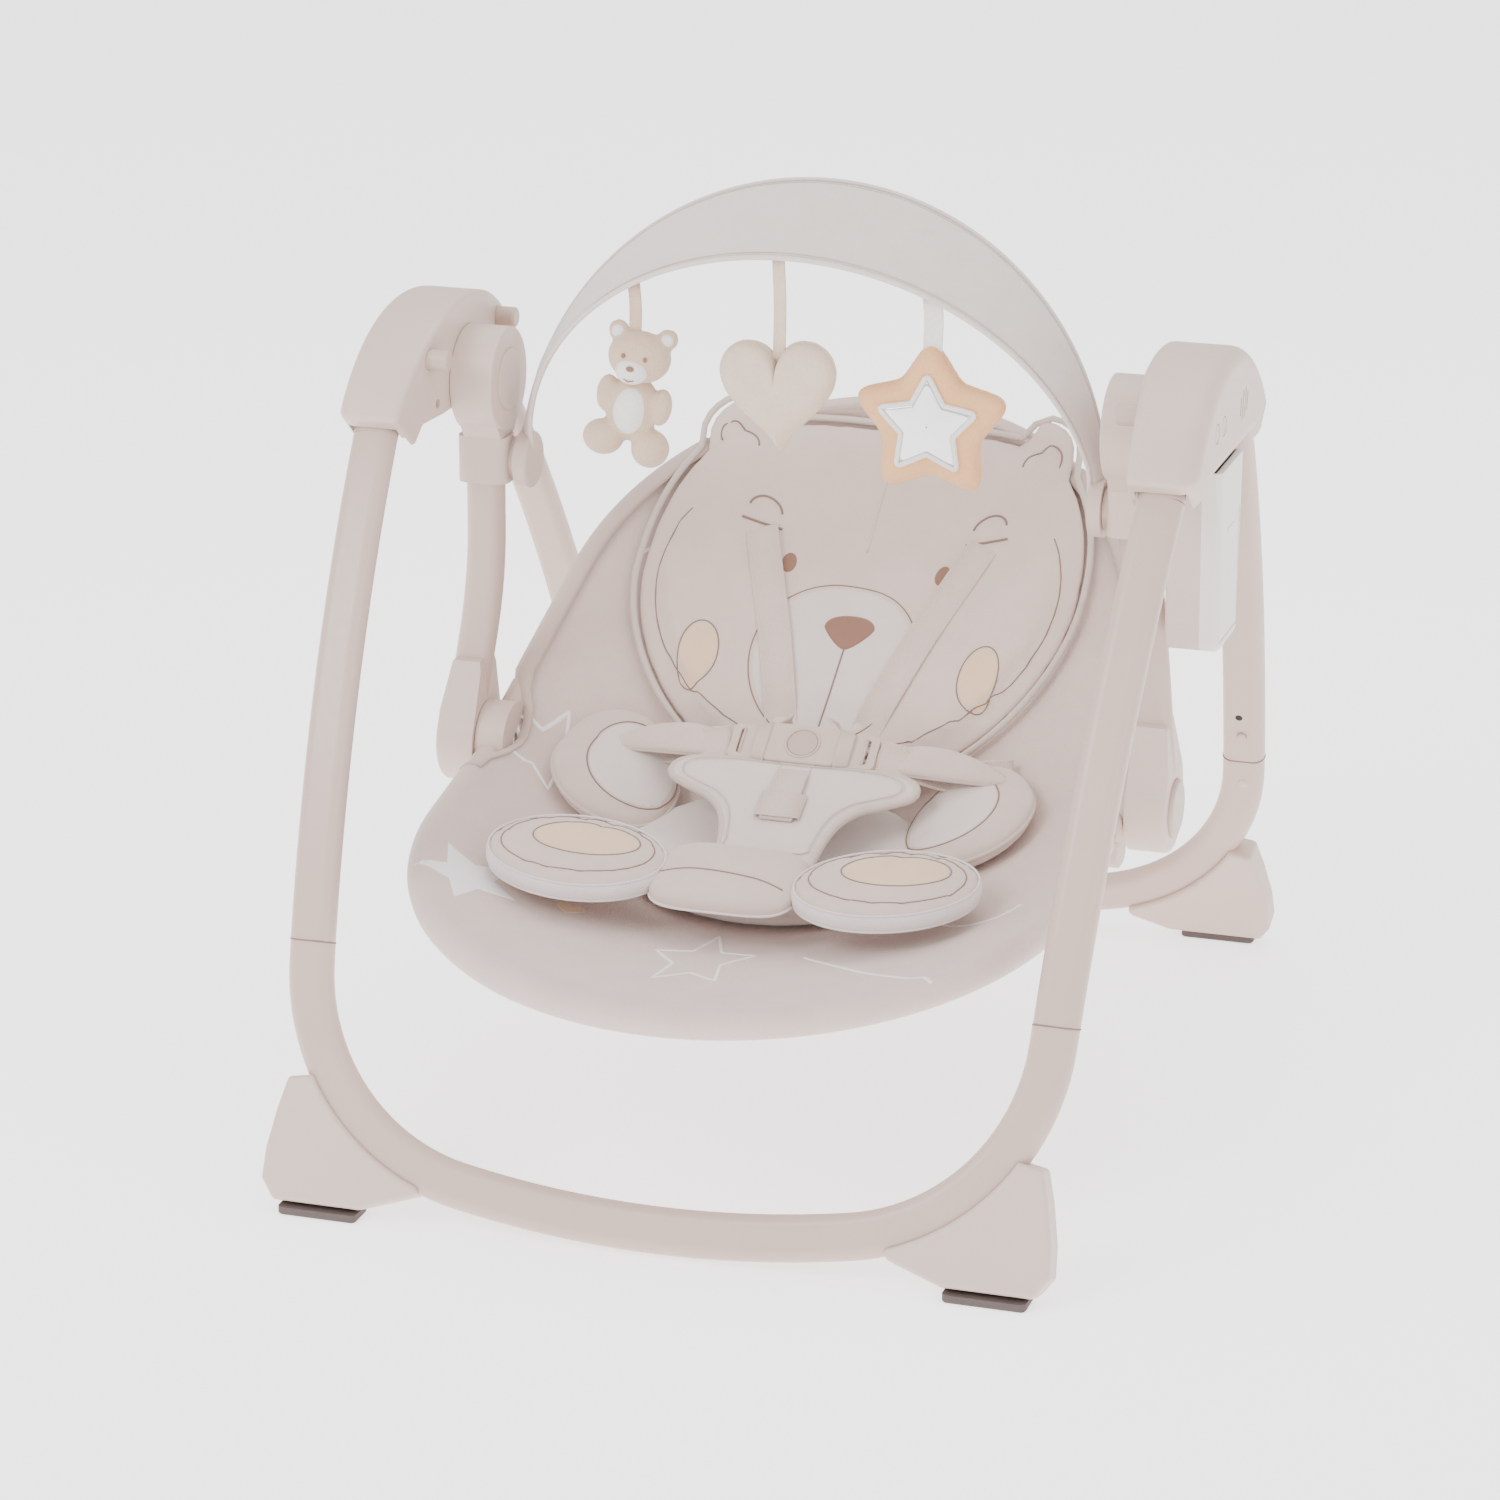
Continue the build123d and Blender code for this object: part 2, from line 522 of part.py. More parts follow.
def hinge_housing():
    """Teardrop housing at the foot of the arm, holding the recline latch."""
    drum = Pos(SEAT_Y, SEAT_Z) * Circle(HOUSE_R)
    neck = polygon((SEAT_Y - 31, SEAT_Z + 10), (-6.5, 292), (21, 296), (SEAT_Y + 31, SEAT_Z + 10))
    front_view = polygon((HOUSE_IN, 190), (HOUSE_OUT, 190), (HOUSE_OUT, HOUSE_CREASE), (269, 301), (250, 301),
                         (HOUSE_IN, 285))
    shell = side_plate(drum + neck, HOUSE_IN, HOUSE_OUT) & extrude(Plane.XZ * front_view, amount=60, both=True)
    shell = soften(shell, outer_rim(shell), 4.0)
    shell -= rod(BUTTON_R + 0.4, HOUSE_OUT - BUTTON_DEPTH, HOUSE_OUT + 1, SEAT_Y, SEAT_Z)
    shell -= rod(SEAT_PIN_R + 0.05, HOUSE_IN - 1, HOUSE_OUT, SEAT_Y, SEAT_Z)
    return shell - arm_solid()


def recline_button():
    button = rod(BUTTON_R, HOUSE_OUT - BUTTON_DEPTH + 5, BUTTON_OUT, SEAT_Y, SEAT_Z)
    return soften(button, rim(button, BUTTON_OUT), 3.0)


def pivot_shaft():
    return rod(SHAFT_R, HEAD_IN + 6, SHAFT_END - 0.5, 0, PIVOT_Z)


# ---- seat frame -----------------------------------------------------------------------------
def loop_plane(slope, forward):
    """Plane of a seat loop through the recline axis; local y points away from the axis."""
    a = radians(slope)
    away = Vector(0, -cos(a) if forward else cos(a), sin(a))
    return Plane(origin=(0, SEAT_Y, SEAT_Z), x_dir=(1, 0, 0), z_dir=Vector(1, 0, 0).cross(away))


def front_loop_path():
    nose = JernArc((0, FRONT_REACH), (1, 0), FRONT_R, -90)
    side = Line(nose @ 1, (LOOP_X, LOOP_START))
    return loop_plane(FRONT_SLOPE, True) * (nose + side)


def back_loop_path():
    crown = JernArc((0, BACK_REACH), (1, 0), BACK_R, BACK_FLARE - 90)
    side = Line(crown @ 1, (LOOP_X, LOOP_START))
    return loop_plane(BACK_SLOPE, False) * (crown + side)


def loop_tube(path, bore):
    start = Plane(origin=path @ 0, z_dir=path % 0)
    ring = Circle(ROD_R) - Circle(bore) if bore else Circle(ROD_R)
    half = sweep(start * ring, path=path)
    return half + other_side(half)


def base_path():
    """Cross tube under the seat, from one hinge block to the other."""
    half = [(217, 194), (190, 194), (140, 134)]
    points = half + [(-x, z) for x, z in reversed(half)]
    return FilletPolyline(*[(x, SEAT_Y, z) for x, z in points], radius=32)


def base_tube():
    path = base_path()
    return sweep(Plane(origin=path @ 0, z_dir=path % 0) * (Circle(9.5) - Circle(8.0)), path=path)


def hinge_block():
    """Seat side of the recline joint: disc, two rod sockets and the cross tube's boss."""
    block = rod(BLOCK_R, BLOCK_IN, BLOCK_OUT, SEAT_Y, SEAT_Z)
    for path in (front_loop_path(), back_loop_path()):
        run = Line(path @ 1, path @ 1 + (path % 1) * -30)
        away = Plane(origin=(path @ 1) + (path % 1) * 6, z_dir=(path % 1) * -1)
        block += extrude(away * Circle(9.6), amount=32)
        block -= extrude(Plane(origin=path @ 1, z_dir=(path % 1) * -1) * Circle(ROD_R + 0.03), amount=32)
    foot = Pos(222, SEAT_Y, 198) * Box(32, 30, 30)
    foot = fillet(foot.edges().filter_by(Axis.X), 10)
    block += foot
    block -= Pos(209, SEAT_Y, 194) * Rot(0, 90, 0) * Cylinder(9.5, 16)
    return block - rod(SEAT_PIN_R + 0.05, BLOCK_IN - 1, BLOCK_OUT + 1, SEAT_Y, SEAT_Z)


def seat_pin():
    return rod(SEAT_PIN_R, BLOCK_IN + 2, HOUSE_OUT - BUTTON_DEPTH - 1, SEAT_Y, SEAT_Z)


# ---- seat soft goods (plain solids) ---------------------------------------------------------
def half_width(y):
    """Half width of the cloth between the loop rods at a place along Y."""
    front_r, back_r, straight = FRONT_R - EDGE_GAP, BACK_R - EDGE_GAP, LOOP_X - EDGE_GAP
    if y < SEAT_Y:
        s = (SEAT_Y - y) / cos(radians(FRONT_SLOPE))
        past = s - (FRONT_REACH - FRONT_R)
        return sqrt(front_r ** 2 - past ** 2) if past > 0 else straight
    s = (y - SEAT_Y) / cos(radians(BACK_SLOPE))
    past = s - (BACK_REACH - BACK_R)
    if past > BACK_R * sin(radians(BACK_FLARE)):
        return sqrt(back_r ** 2 - past ** 2)
    return straight - (s - LOOP_START) * tan(radians(BACK_FLARE)) * (s > LOOP_START)


def rim_height(y):
    """Height of the loops' plane at a place along Y."""
    slope = -FRONT_SLOPE if y < SEAT_Y else BACK_SLOPE
    return SEAT_Z + (y - SEAT_Y) * tan(radians(slope))


def sling(lift, thick):
    """A layer that hangs between the seat loops, its lower face lift above the cover's top."""
    strips = []
    for y, z in zip(COVER_Y, COVER_Z):
        w, edge = half_width(y), rim_height(y) + lift
        low = ThreePointArc((-w, edge), (0, z + lift), (w, edge))
        high = ThreePointArc((-w, edge + thick), (0, z + lift + thick), (w, edge + thick))
        ends = Line((-w, edge), (-w, edge + thick)) + Line((w, edge), (w, edge + thick))
        plane = Plane(origin=(0, y, 0), x_dir=(1, 0, 0), z_dir=(0, -1, 0))
        strips.append(plane * make_face(low + high + ends))
    return loft(strips)


def seat_cover():
    """The cloth between the rods, notched round the two hinge blocks."""
    notch = Pos(BLOCK_IN + 12, SEAT_Y, SEAT_Z) * Box(72, 2 * BLOCK_R + 44, 110)
    return sling(-COVER_T, COVER_T) - notch - other_side(notch)


def bear_outline():
    """Plan view of the head pad: a wide head with two round ears."""
    head = Pos(0, 138) * Ellipse(164, 112)
    for side in (-1, 1):
        head += Pos(side * 106, 211) * Circle(26)
    return head


def bear_pad():
    pad = sling(0.6, HEAD_PAD_T) & extrude(Pos(0, 0, 100) * bear_outline(), amount=420)
    return pad.solids().sort_by(SortBy.VOLUME)[-1]


def insert_outline():
    """Plan view of the seat insert: paws in front, petals beside the hips."""
    middle = Pos(0, -88) * RectangleRounded(200, 190, 40)
    for side in (-1, 1):
        middle += Pos(side * 122, -118) * Ellipse(64, 56)
        middle += Pos(side * 150, -26) * Ellipse(46, 50)
    return middle


def seat_insert():
    pad = sling(0.6, INSERT_T) & extrude(Pos(0, 0, 100) * insert_outline(), amount=300)
    return pad.solids().sort_by(SortBy.VOLUME)[-1]


CROTCH = Plane(origin=(0, -54, 216), x_dir=(1, 0, 0), z_dir=(0, -sin(radians(27)), cos(radians(27))))
BUCKLE = Plane(origin=(0, 1, 248), x_dir=(1, 0, 0), z_dir=(0, -sin(radians(35)), cos(radians(35))))


def crotch_pad():
    shape = Pos(0, 32) * RectangleRounded(156, 26, 9) + Pos(0, -8) * RectangleRounded(50, 74, 8)
    pad = extrude(CROTCH * shape, amount=4, both=True)
    return fillet(pad.faces().sort_by(Axis.Z)[-1].edges(), 2)


def strap(a, b, width, thick, facing):
    """Flat webbing from a to b."""
    a, b = Vector(*a), Vector(*b)
    along = b - a
    plane = Plane(origin=(a + b) * 0.5, x_dir=along, z_dir=along.cross(Vector(*facing)).cross(along))
    return plane * Box(along.length, width, thick)


def harness_straps():
    """Two shoulder straps, two waist straps and the crotch strap."""
    straps = []
    for side in (-1, 1):
        straps.append(strap((side * 88, 176, 352), (side * 31, 22, 267), 25, 1.6, (0, -0.6, 0.8)))
        straps.append(strap((side * 122, 24, 239), (side * 58, 5, 249), 25, 1.6, (0, -0.7, 0.7)))
    straps.append(CROTCH * Pos(0, 8, 5.2) * Box(25, 64, 1.6))
    return straps


def buckle():
    """Round-cornered buckle body with a well for its release button."""
    body = extrude(BUCKLE * RectangleRounded(62, 34, 9), amount=6, both=True)
    body = fillet(body.faces().sort_by(Axis.Z)[-1].edges(), 1.8)
    return body - BUCKLE * Pos(0, 0, 2.5) * Cylinder(11.3, 8)


def buckle_button():
    return BUCKLE * Pos(0, 0, 3.4) * Cylinder(11, 5.6)


def harness_tongues():
    """Slotted side tongues that plug into the buckle and carry the straps."""
    tongues = []
    for side in (-1, 1):
        plate = RectangleRounded(24, 30, 4) - Pos(side * 4, 0) * SlotOverall(22, 4, rotation=90)
        tongues.append(extrude(BUCKLE * Pos(side * 43.5, 0) * plate, amount=2.2, both=True))
    return tongues


# ---- toy bar and toys -----------------------------------------------------------------------
def arch_point(edge, u):
    """Point on one edge of the toy bar; u runs from 0 at the right end to 180."""
    span, rise, lean = edge
    x, h = span * cos(radians(u)), rise * sin(radians(u))
    return Vector(x, TOY_Y - h * sin(radians(lean)), TOY_Z + h * cos(radians(lean)))


def band_strip(u):
    """Cross-section of the padded band, a thin lens between its front and rear edges."""
    f, r = arch_point(BAND_FRONT, u), arch_point(BAND_REAR, u)
    ahead = arch_point(BAND_FRONT, u + 1) + arch_point(BAND_REAR, u + 1) - f - r
    across = r - f
    normal = across.cross(ahead).normalized()
    half = max(across.length / 2, 8.0)
    plane = Plane(origin=(f + r) * 0.5, x_dir=across, z_dir=across.cross(normal))
    return plane * RectangleRounded(2 * half, BAND_T, 1.2)


def toy_bar_band():
    return loft([band_strip(u) for u in (7, 18, 32, 48, 68, 90, 112, 132, 148, 162, 173)])


def toy_socket():
    """Swivelling cup that the end of the toy bar plugs into."""
    cup = rod(21, 208.5, 219, TOY_Y, TOY_Z)
    cup = soften(cup, rim(cup, 208.5), 3.0)
    peg = rod(4.9, 218, 228, TOY_Y, TOY_Z)
    return cup - toy_bar_band() + peg


def toy_anchor(k):
    """Top of a toy's strap, just under the front edge of the band."""
    x = TOY_X[k]
    span, rise, lean = BAND_FRONT
    h = rise * sqrt(1 - (x / span) ** 2) - 7
    return Vector(x, TOY_Y - h * sin(radians(lean)) + 6, TOY_Z + h * cos(radians(lean)))


def blob(x, y, z, a, b, c):
    return Pos(x, y, z) * scale(Sphere(10), by=(a / 10, b / 10, c / 10))


def toy_strap(k, bottom):
    top = toy_anchor(k)
    return Pos(top.X, top.Y, (top.Z + bottom) / 2) * Box(8, 2, top.Z - bottom)


def bear_toy():
    x, y = TOY_X[0], toy_anchor(0).Y
    toy = toy_strap(0, 555) + blob(x, y, 541, 21, 15, 19) + blob(x - 1, y, 505, 19, 15, 22)
    toy += blob(x + 2, y - 13, 536, 10, 6, 8)
    for side in (-1, 1):
        toy += blob(x + side * 18, y, 557, 7, 4, 7)
        toy += blob(x + side * 20, y, 512, 8, 8, 12)
        toy += blob(x + side * 16, y - 4, 483, 11, 12, 14)
    return toy


def heart_toy():
    x, y = TOY_X[1], toy_anchor(1).Y
    heart = Pos(-19, 12) * Circle(22) + Pos(19, 12) * Circle(22)
    heart += polygon((-38.5, 3), (0, -38), (38.5, 3), (0, 24))
    body = extrude(Plane(origin=(x, y, 528), x_dir=(1, 0, 0), z_dir=(0, -1, 0)) * heart, amount=11, both=True)
    return body + toy_strap(1, 545)


def star_outline(outer, inner):
    points = []
    for k in range(10):
        r, a = (outer if k % 2 == 0 else inner), radians(90 + 36 * k)
        points.append((r * cos(a), r * sin(a)))
    return polygon(*points)


def star_toy():
    x, y = TOY_X[2], toy_anchor(2).Y
    star = fillet(star_outline(56, 30).vertices(), 5)
    body = extrude(Plane(origin=(x, y, 515), x_dir=(1, 0, 0), z_dir=(0, -1, 0)) * star, amount=10, both=True)
    return body + toy_strap(2, 560)


# ---- write every node -----------------------------------------------------------------------
def write_stand():
    leg, foot, pad, tube = front_leg(), foot_shell(), foot_pad(), floor_tube()
    save("front_floor_tube", tube)
    save("rear_floor_tube", other_end(tube))
    pair("front_leg_tubes", leg)
    pair("rear_leg_tubes", other_end(leg))
    pair("front_foot_shells", foot)
    pair("rear_foot_shells", other_end(foot))
    pair("front_foot_pads", pad)
    pair("rear_foot_pads", other_end(pad))
    button = snap_button()
    for end, shape in (("front", button), ("rear", other_end(button))):
        save(f"right_{end}_snap_button", shape)
        save(f"left_{end}_snap_button", other_side(shape))


def write_hubs():
    inner = hub_inner()
    save("right_hub_inner", inner)
    save("left_hub_inner", other_side(inner))
    save("right_hub_outer", right_hub_outer())
    save("left_hub_outer", other_side(hub_outer()))
    screws = [hub_screw(y) for y in (-POST_Y, POST_Y)]
    save("hub_screws", *screws, *[other_side(s) for s in screws])
    pins = [rod(LEG_PIN_R, PIN_IN + 0.5, PIN_END, end * LEG_PIN[0], LEG_PIN[1]) for end in (-1, 1)]
    save("leg_hinge_pins", *pins, *[other_side(p) for p in pins])
    bushes = [pivot_bush(HUB_IN + 0.5, HUB_IN + 8), pivot_bush(BUSH_X0, BUSH_X1)]
    save("pivot_bushes", *bushes, *[other_side(b) for b in bushes])
    for end, y in (("front", -PEG_Y), ("rear", PEG_Y)):
        save(f"right_{end}_fold_peg", fold_peg(y))
        save(f"left_{end}_fold_peg", other_side(fold_peg(y)))


def write_drive():
    save("drive_motor", drive_motor())
    save("motor_pinion", motor_pinion())
    save("drive_gear", drive_gear())
    save("power_box_inner", power_box_inner())
    save("power_box_outer", power_box_outer())
    save("battery_door", battery_door())
    save("battery_cells", *battery_cells())
    save("control_board", control_board())
    save("speaker", speaker())
    save("power_button", control_key(KEY_Y[0]))
    save("music_button", control_key(KEY_Y[1]))


def write_arms():
    pair("arm_heads", arm_head())
    pair("arm_head_caps", head_cap())
    pair("pivot_shafts", pivot_shaft())
    pair("swing_arms", swing_arm())
    pair("toy_bar_collars", toy_collar())
    pair("hinge_housings", hinge_housing())
    pair("seat_hinge_pins", seat_pin())
    save("right_recline_button", recline_button())
    save("left_recline_button", other_side(recline_button()))


def write_seat():
    pair("seat_hinge_blocks", hinge_block())
    save("seat_base_tube", base_tube())
    save("seat_front_loop", loop_tube(front_loop_path(), ROD_R - 1.5))
    save("seat_back_loop", loop_tube(back_loop_path(), ROD_R - 1.5))
    save("seat_cover", seat_cover())
    save("bear_pad", bear_pad())
    save("seat_insert", seat_insert())
    save("crotch_pad", crotch_pad())
    save("harness_straps", *harness_straps())
    save("harness_tongues", *harness_tongues())
    save("buckle", buckle())
    save("buckle_button", buckle_button())


def write_toys():
    save("toy_bar_band", toy_bar_band())
    pair("toy_bar_sockets", toy_socket())
    save("bear_toy", bear_toy())
    save("heart_toy", heart_toy())
    save("star_toy", star_toy())


os.makedirs("parts", exist_ok=True)
write_stand()
write_hubs()
write_drive()
write_arms()
write_seat()
write_toys()
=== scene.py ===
from math import atan2, cos, exp, pi, radians, sin, sqrt, tan

import bmesh
import bpy
import numpy as np
from mathutils import Matrix, Vector, noise
from mathutils.bvhtree import BVHTree


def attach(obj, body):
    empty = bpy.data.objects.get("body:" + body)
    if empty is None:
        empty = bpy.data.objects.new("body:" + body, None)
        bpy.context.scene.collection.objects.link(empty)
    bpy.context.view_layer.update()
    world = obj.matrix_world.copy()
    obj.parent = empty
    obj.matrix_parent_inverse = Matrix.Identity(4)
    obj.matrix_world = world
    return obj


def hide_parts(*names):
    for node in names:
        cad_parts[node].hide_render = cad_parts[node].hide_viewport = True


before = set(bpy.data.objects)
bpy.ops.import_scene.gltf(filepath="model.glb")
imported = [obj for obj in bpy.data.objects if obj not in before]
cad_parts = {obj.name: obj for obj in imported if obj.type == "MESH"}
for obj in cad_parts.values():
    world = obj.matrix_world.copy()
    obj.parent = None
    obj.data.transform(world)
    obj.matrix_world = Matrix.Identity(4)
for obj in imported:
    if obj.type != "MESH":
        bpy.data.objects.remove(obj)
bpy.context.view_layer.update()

# Baby swing.  Lengths are millimetres in the code and metres in the scene; +X is the motor side,
# the baby's feet point to -Y.
MM = 0.001

# ---- driving dimensions, the same as in the CAD model -----------------------------------------
SEAT_Y, SEAT_Z = 2.0, 231.0
LOOP_X, LOOP_START = 236.0, 24.0
FRONT_SLOPE, FRONT_R, FRONT_REACH = -10.0, 236.0, 358.0
BACK_SLOPE, BACK_R, BACK_REACH, BACK_FLARE = 37.0, 215.5, 337.0, 10.0
COVER_Y = (-341, -320, -270, -200, -120, -40, 20, 70, 130, 190, 240, 262)
COVER_Z = (178, 175, 169, 162, 158, 161, 195, 238, 288, 328, 378, 406)
SLEEVE_R = 11.0                    # the cover's sleeve round a loop rod
EDGE_LIFT = 8.0                    # the sling leaves the sleeve this far above the rod's centre
HEM_X = 217.0                      # the cover's edge beside the hinge blocks
HEAD_PAD_T = 21.0
TOY_Y, TOY_Z = 10.0, 446.0
BAND_FRONT = (211.0, 190.0, 20.0)
BAND_REAR = (218.0, 216.0, -10.0)
TOY_X = (-115.0, -5.0, 104.0)
CROTCH_O, CROTCH_TILT = (0.0, -54.0, 216.0), 27.0
BUCKLE_O, BUCKLE_TILT = (0.0, 1.0, 248.0), 35.0

# ---- colours, as sRGB ----------------------------------------------------------------------
TUBE = (196, 171, 160)
SHELL = (206, 184, 173)
SHELL_DARK = (194, 170, 158)
BOX_FRONT = (204, 184, 174)
BOX_BACK = (226, 219, 214)
SOLE = (88, 76, 73)
CLOTH = (211, 189, 181)
CLOTH_DARK = (202, 179, 170)
PLUSH = (217, 195, 185)
CREAM = (222, 209, 203)
PEACH = (231, 198, 165)
BROWN = (142, 104, 88)
# This colour is used for the printed lines on the cloth and also for the painted shade rings at the tube joints.
LINE_PRINT_AND_JOINT_SHADE = (138, 112, 100)
WHITE = (240, 236, 235)
WEB = (216, 194, 185)
TOY_BEIGE = (218, 190, 166)
TOY_HEART = (222, 200, 180)
TOY_ORANGE = (238, 183, 132)
STEEL = (178, 176, 174)


# ---- materials ------------------------------------------------------------------------------
def linear(rgb):
    """sRGB 0-255 to the renderer's linear colour."""
    out = [((c / 255 + 0.055) / 1.055) ** 2.4 if c > 10 else c / 255 / 12.92 for c in rgb]
    return (*out, 1.0)


def tinted(rgb, factor):
    return tuple(min(255.0, c * factor) for c in rgb)


class Nodes:
    """A short way to add and join shader nodes."""

    def __init__(self, name):
        self.mat = bpy.data.materials.new(name)
        self.mat.use_nodes = True
        self.tree = self.mat.node_tree
        self.shader = self.tree.nodes["Principled BSDF"]
        self.place = self.add("ShaderNodeTexCoord").outputs["Object"]

    def add(self, kind, **values):
        node = self.tree.nodes.new(kind)
        for key, value in values.items():
            if key in node.inputs:
                node.inputs[key].default_value = value
            else:
                setattr(node, key, value)
        return node

    def join(self, a, b):
        self.tree.links.new(a, b)

    def noise(self, scale, detail=3.0, rough=0.55):
        node = self.add("ShaderNodeTexNoise", Scale=scale, Detail=detail, Roughness=rough)
        self.join(self.place, node.inputs["Vector"])
        return node.outputs["Fac"]

    def wave(self, pitch, turn):
        """Threads pitch metres apart; turn rotates them about X."""
        mapping = self.add("ShaderNodeMapping", Rotation=turn)
        self.join(self.place, mapping.inputs["Vector"])
        node = self.add("ShaderNodeTexWave", Scale=0.314 / pitch, Distortion=0.6)
        node.inputs["Detail Scale"].default_value = 2.0
        self.join(mapping.outputs["Vector"], node.inputs["Vector"])
        return node.outputs["Fac"]

    def math(self, operation, a, b):
        node = self.add("ShaderNodeMath", operation=operation)
        for socket, value in zip(node.inputs, (a, b)):
            if isinstance(value, (int, float)):
                socket.default_value = value
            else:
                self.join(value, socket)
        return node.outputs[0]

    def blend(self, factor, a, b):
        node = self.add("ShaderNodeMix", data_type="RGBA")
        self.join(factor, node.inputs["Factor"])
        for socket, value in ((node.inputs[6], a), (node.inputs[7], b)):
            if isinstance(value, tuple):
                socket.default_value = value
            else:
                self.join(value, socket)
        return node.outputs[2]

    def bump(self, height, strength, distance, below=None):
        node = self.add("ShaderNodeBump", Strength=strength, Distance=distance)
        self.join(height, node.inputs["Height"])
        if below is not None:
            self.join(below, node.inputs["Normal"])
        return node.outputs["Normal"]

    def range(self, value, low, high):
        node = self.add("ShaderNodeMapRange")
        node.inputs["From Min"].default_value = 0.3
        node.inputs["From Max"].default_value = 0.7
        node.inputs["To Min"].default_value = low
        node.inputs["To Max"].default_value = high
        self.join(value, node.inputs["Value"])
        return node.outputs[0]

    def into(self, output, socket):
        self.join(output, self.shader.inputs[socket])

    def set(self, **sockets):
        for key, value in sockets.items():
            self.shader.inputs[key.replace("_", " ")].default_value = value


def plastic(name, rgb, rough=0.42, grain=0.00018, coat=0.0, metallic=0.0):
    """Moulded or painted surface: fine texture, slow colour drift, uneven gloss."""
    n = Nodes(name)
    drift = n.noise(9.0, 2.0)
    n.into(n.blend(drift, linear(tinted(rgb, 0.97)), linear(tinted(rgb, 1.025))), "Base Color")
    n.into(n.range(n.noise(160.0, 4.0), rough - 0.05, rough + 0.07), "Roughness")
    fine = n.bump(n.noise(1400.0, 2.0), 0.35, grain)
    n.into(n.bump(n.noise(22.0, 2.0), 0.12, 0.0012, fine), "Normal")
    n.set(Coat_Weight=coat, Coat_Roughness=0.25, Metallic=metallic, IOR=1.48)
    return n.mat


def fabric(name, rgb, pitch=0.0016, weave=0.00022, soft=0.0009, sheen=0.35):
    """Woven cloth: two crossing sets of threads, soft unevenness and a light fuzz."""
    n = Nodes(name)
    across = n.wave(pitch, (0, 0, 0))
    along = n.wave(pitch, (radians(-40), 0, radians(90)))
    threads = n.math("MULTIPLY", across, along)
    mottle = n.noise(34.0, 4.0, 0.6)
    tone = n.blend(mottle, linear(tinted(rgb, 0.955)), linear(tinted(rgb, 1.03)))
    n.into(n.blend(n.math("MULTIPLY", threads, 0.16), tone, linear(tinted(rgb, 0.88))), "Base Color")
    n.into(n.range(mottle, 0.82, 0.95), "Roughness")
    fine = n.bump(threads, 0.6, weave)
    n.into(n.bump(n.noise(60.0, 3.0), 0.4, soft, fine), "Normal")
    n.set(Sheen_Weight=sheen, Sheen_Roughness=0.5, Specular_IOR_Level=0.25)
    return n.mat


def plush(name, rgb, sheen=0.6, pile=0.0012):
    """Short brushed pile: clumped tufts over fine fibres."""
    n = Nodes(name)
    tufts, fibres = n.noise(420.0, 5.0, 0.7), n.noise(1500.0, 3.0, 0.6)
    mottle = n.noise(48.0, 3.0)
    tone = n.blend(mottle, linear(tinted(rgb, 0.95)), linear(tinted(rgb, 1.04)))
    n.into(n.blend(n.range(tufts, 0.0, 0.35), tone, linear(tinted(rgb, 0.86))), "Base Color")
    n.into(n.range(fibres, 0.88, 1.0), "Roughness")
    fine = n.bump(fibres, 0.5, pile * 0.35)
    n.into(n.bump(tufts, 0.7, pile, fine), "Normal")
    n.set(Sheen_Weight=sheen, Sheen_Roughness=0.4, Specular_IOR_Level=0.15)
    return n.mat


MAT = {
    "tube": plastic("powder_coated_tube", TUBE, 0.36, 0.00008, 0.15),
    "shell": plastic("satin_shell", SHELL, 0.44, 0.00016),
    "shell_dark": plastic("satin_button", SHELL_DARK, 0.40, 0.00012),
    "box_front": plastic("box_front", BOX_FRONT, 0.46, 0.00016),
    "box_back": plastic("box_back", BOX_BACK, 0.44, 0.00016),
    "sole": plastic("rubber_sole", SOLE, 0.75, 0.0004),
    "steel": plastic("turned_steel", STEEL, 0.30, 0.00005, 0.0, 1.0),
    "nylon": plastic("nylon", (230, 228, 220), 0.5, 0.0001),
    # Near-black: the speaker's own dark colour, and painted shade inside the spare adjustment holes of the tubes.
    "dark": plastic("speaker_dark_and_hole_shade", (38, 34, 33), 0.7, 0.0002),
    "board": plastic("circuit_board", (30, 92, 52), 0.4, 0.0001),
    "cloth": fabric("seat_cloth", CLOTH),
    "binding": fabric("seat_binding", CLOTH_DARK, 0.0011),
    "face": fabric("head_pad_cloth", PLUSH, 0.0013, 0.00016, 0.0012, 0.5),
    "muzzle": fabric("muzzle_cloth", (221, 207, 202), 0.0013, 0.00014, 0.001, 0.5),
    "cream": fabric("insert_cream", CREAM, 0.0013, 0.00014, 0.0011, 0.45),
    "insert": fabric("insert_cloth", (210, 189, 180), 0.0013, 0.00014, 0.0012, 0.45),
    "side": fabric("insert_side", (226, 217, 215), 0.0014),
    "peach": fabric("peach_print", PEACH, 0.0013, 0.00014, 0.0011, 0.4),
    "brown": fabric("brown_print", BROWN, 0.0013, 0.00012, 0.0006, 0.2),
    "white": fabric("white_print", WHITE, 0.0014, 0.00012, 0.0006, 0.2),
    # Printed lines on the cloth, and the painted shade rings in the gaps at the tube joints.
    "line": plastic("print_and_joint_shade_line", LINE_PRINT_AND_JOINT_SHADE, 0.8, 0.0002),
    "piping": fabric("piping", (206, 190, 180), 0.0010, 0.0001, 0.0004, 0.3),
    "web": fabric("webbing", WEB, 0.0018, 0.0004, 0.0003, 0.25),
    "band": fabric("band_cloth", (218, 205, 199), 0.0014, 0.00018, 0.0012, 0.35),
    "band_in": fabric("band_lining", (209, 196, 190), 0.0014, 0.00018, 0.0012, 0.3),
    "toy": plush("bear_plush", TOY_BEIGE),
    "toy_white": plush("white_plush", (243, 238, 234)),
    "heart": plush("heart_plush", TOY_HEART, 0.5, 0.0008),
    "orange": plush("star_plush", TOY_ORANGE, 0.5, 0.0010),
}


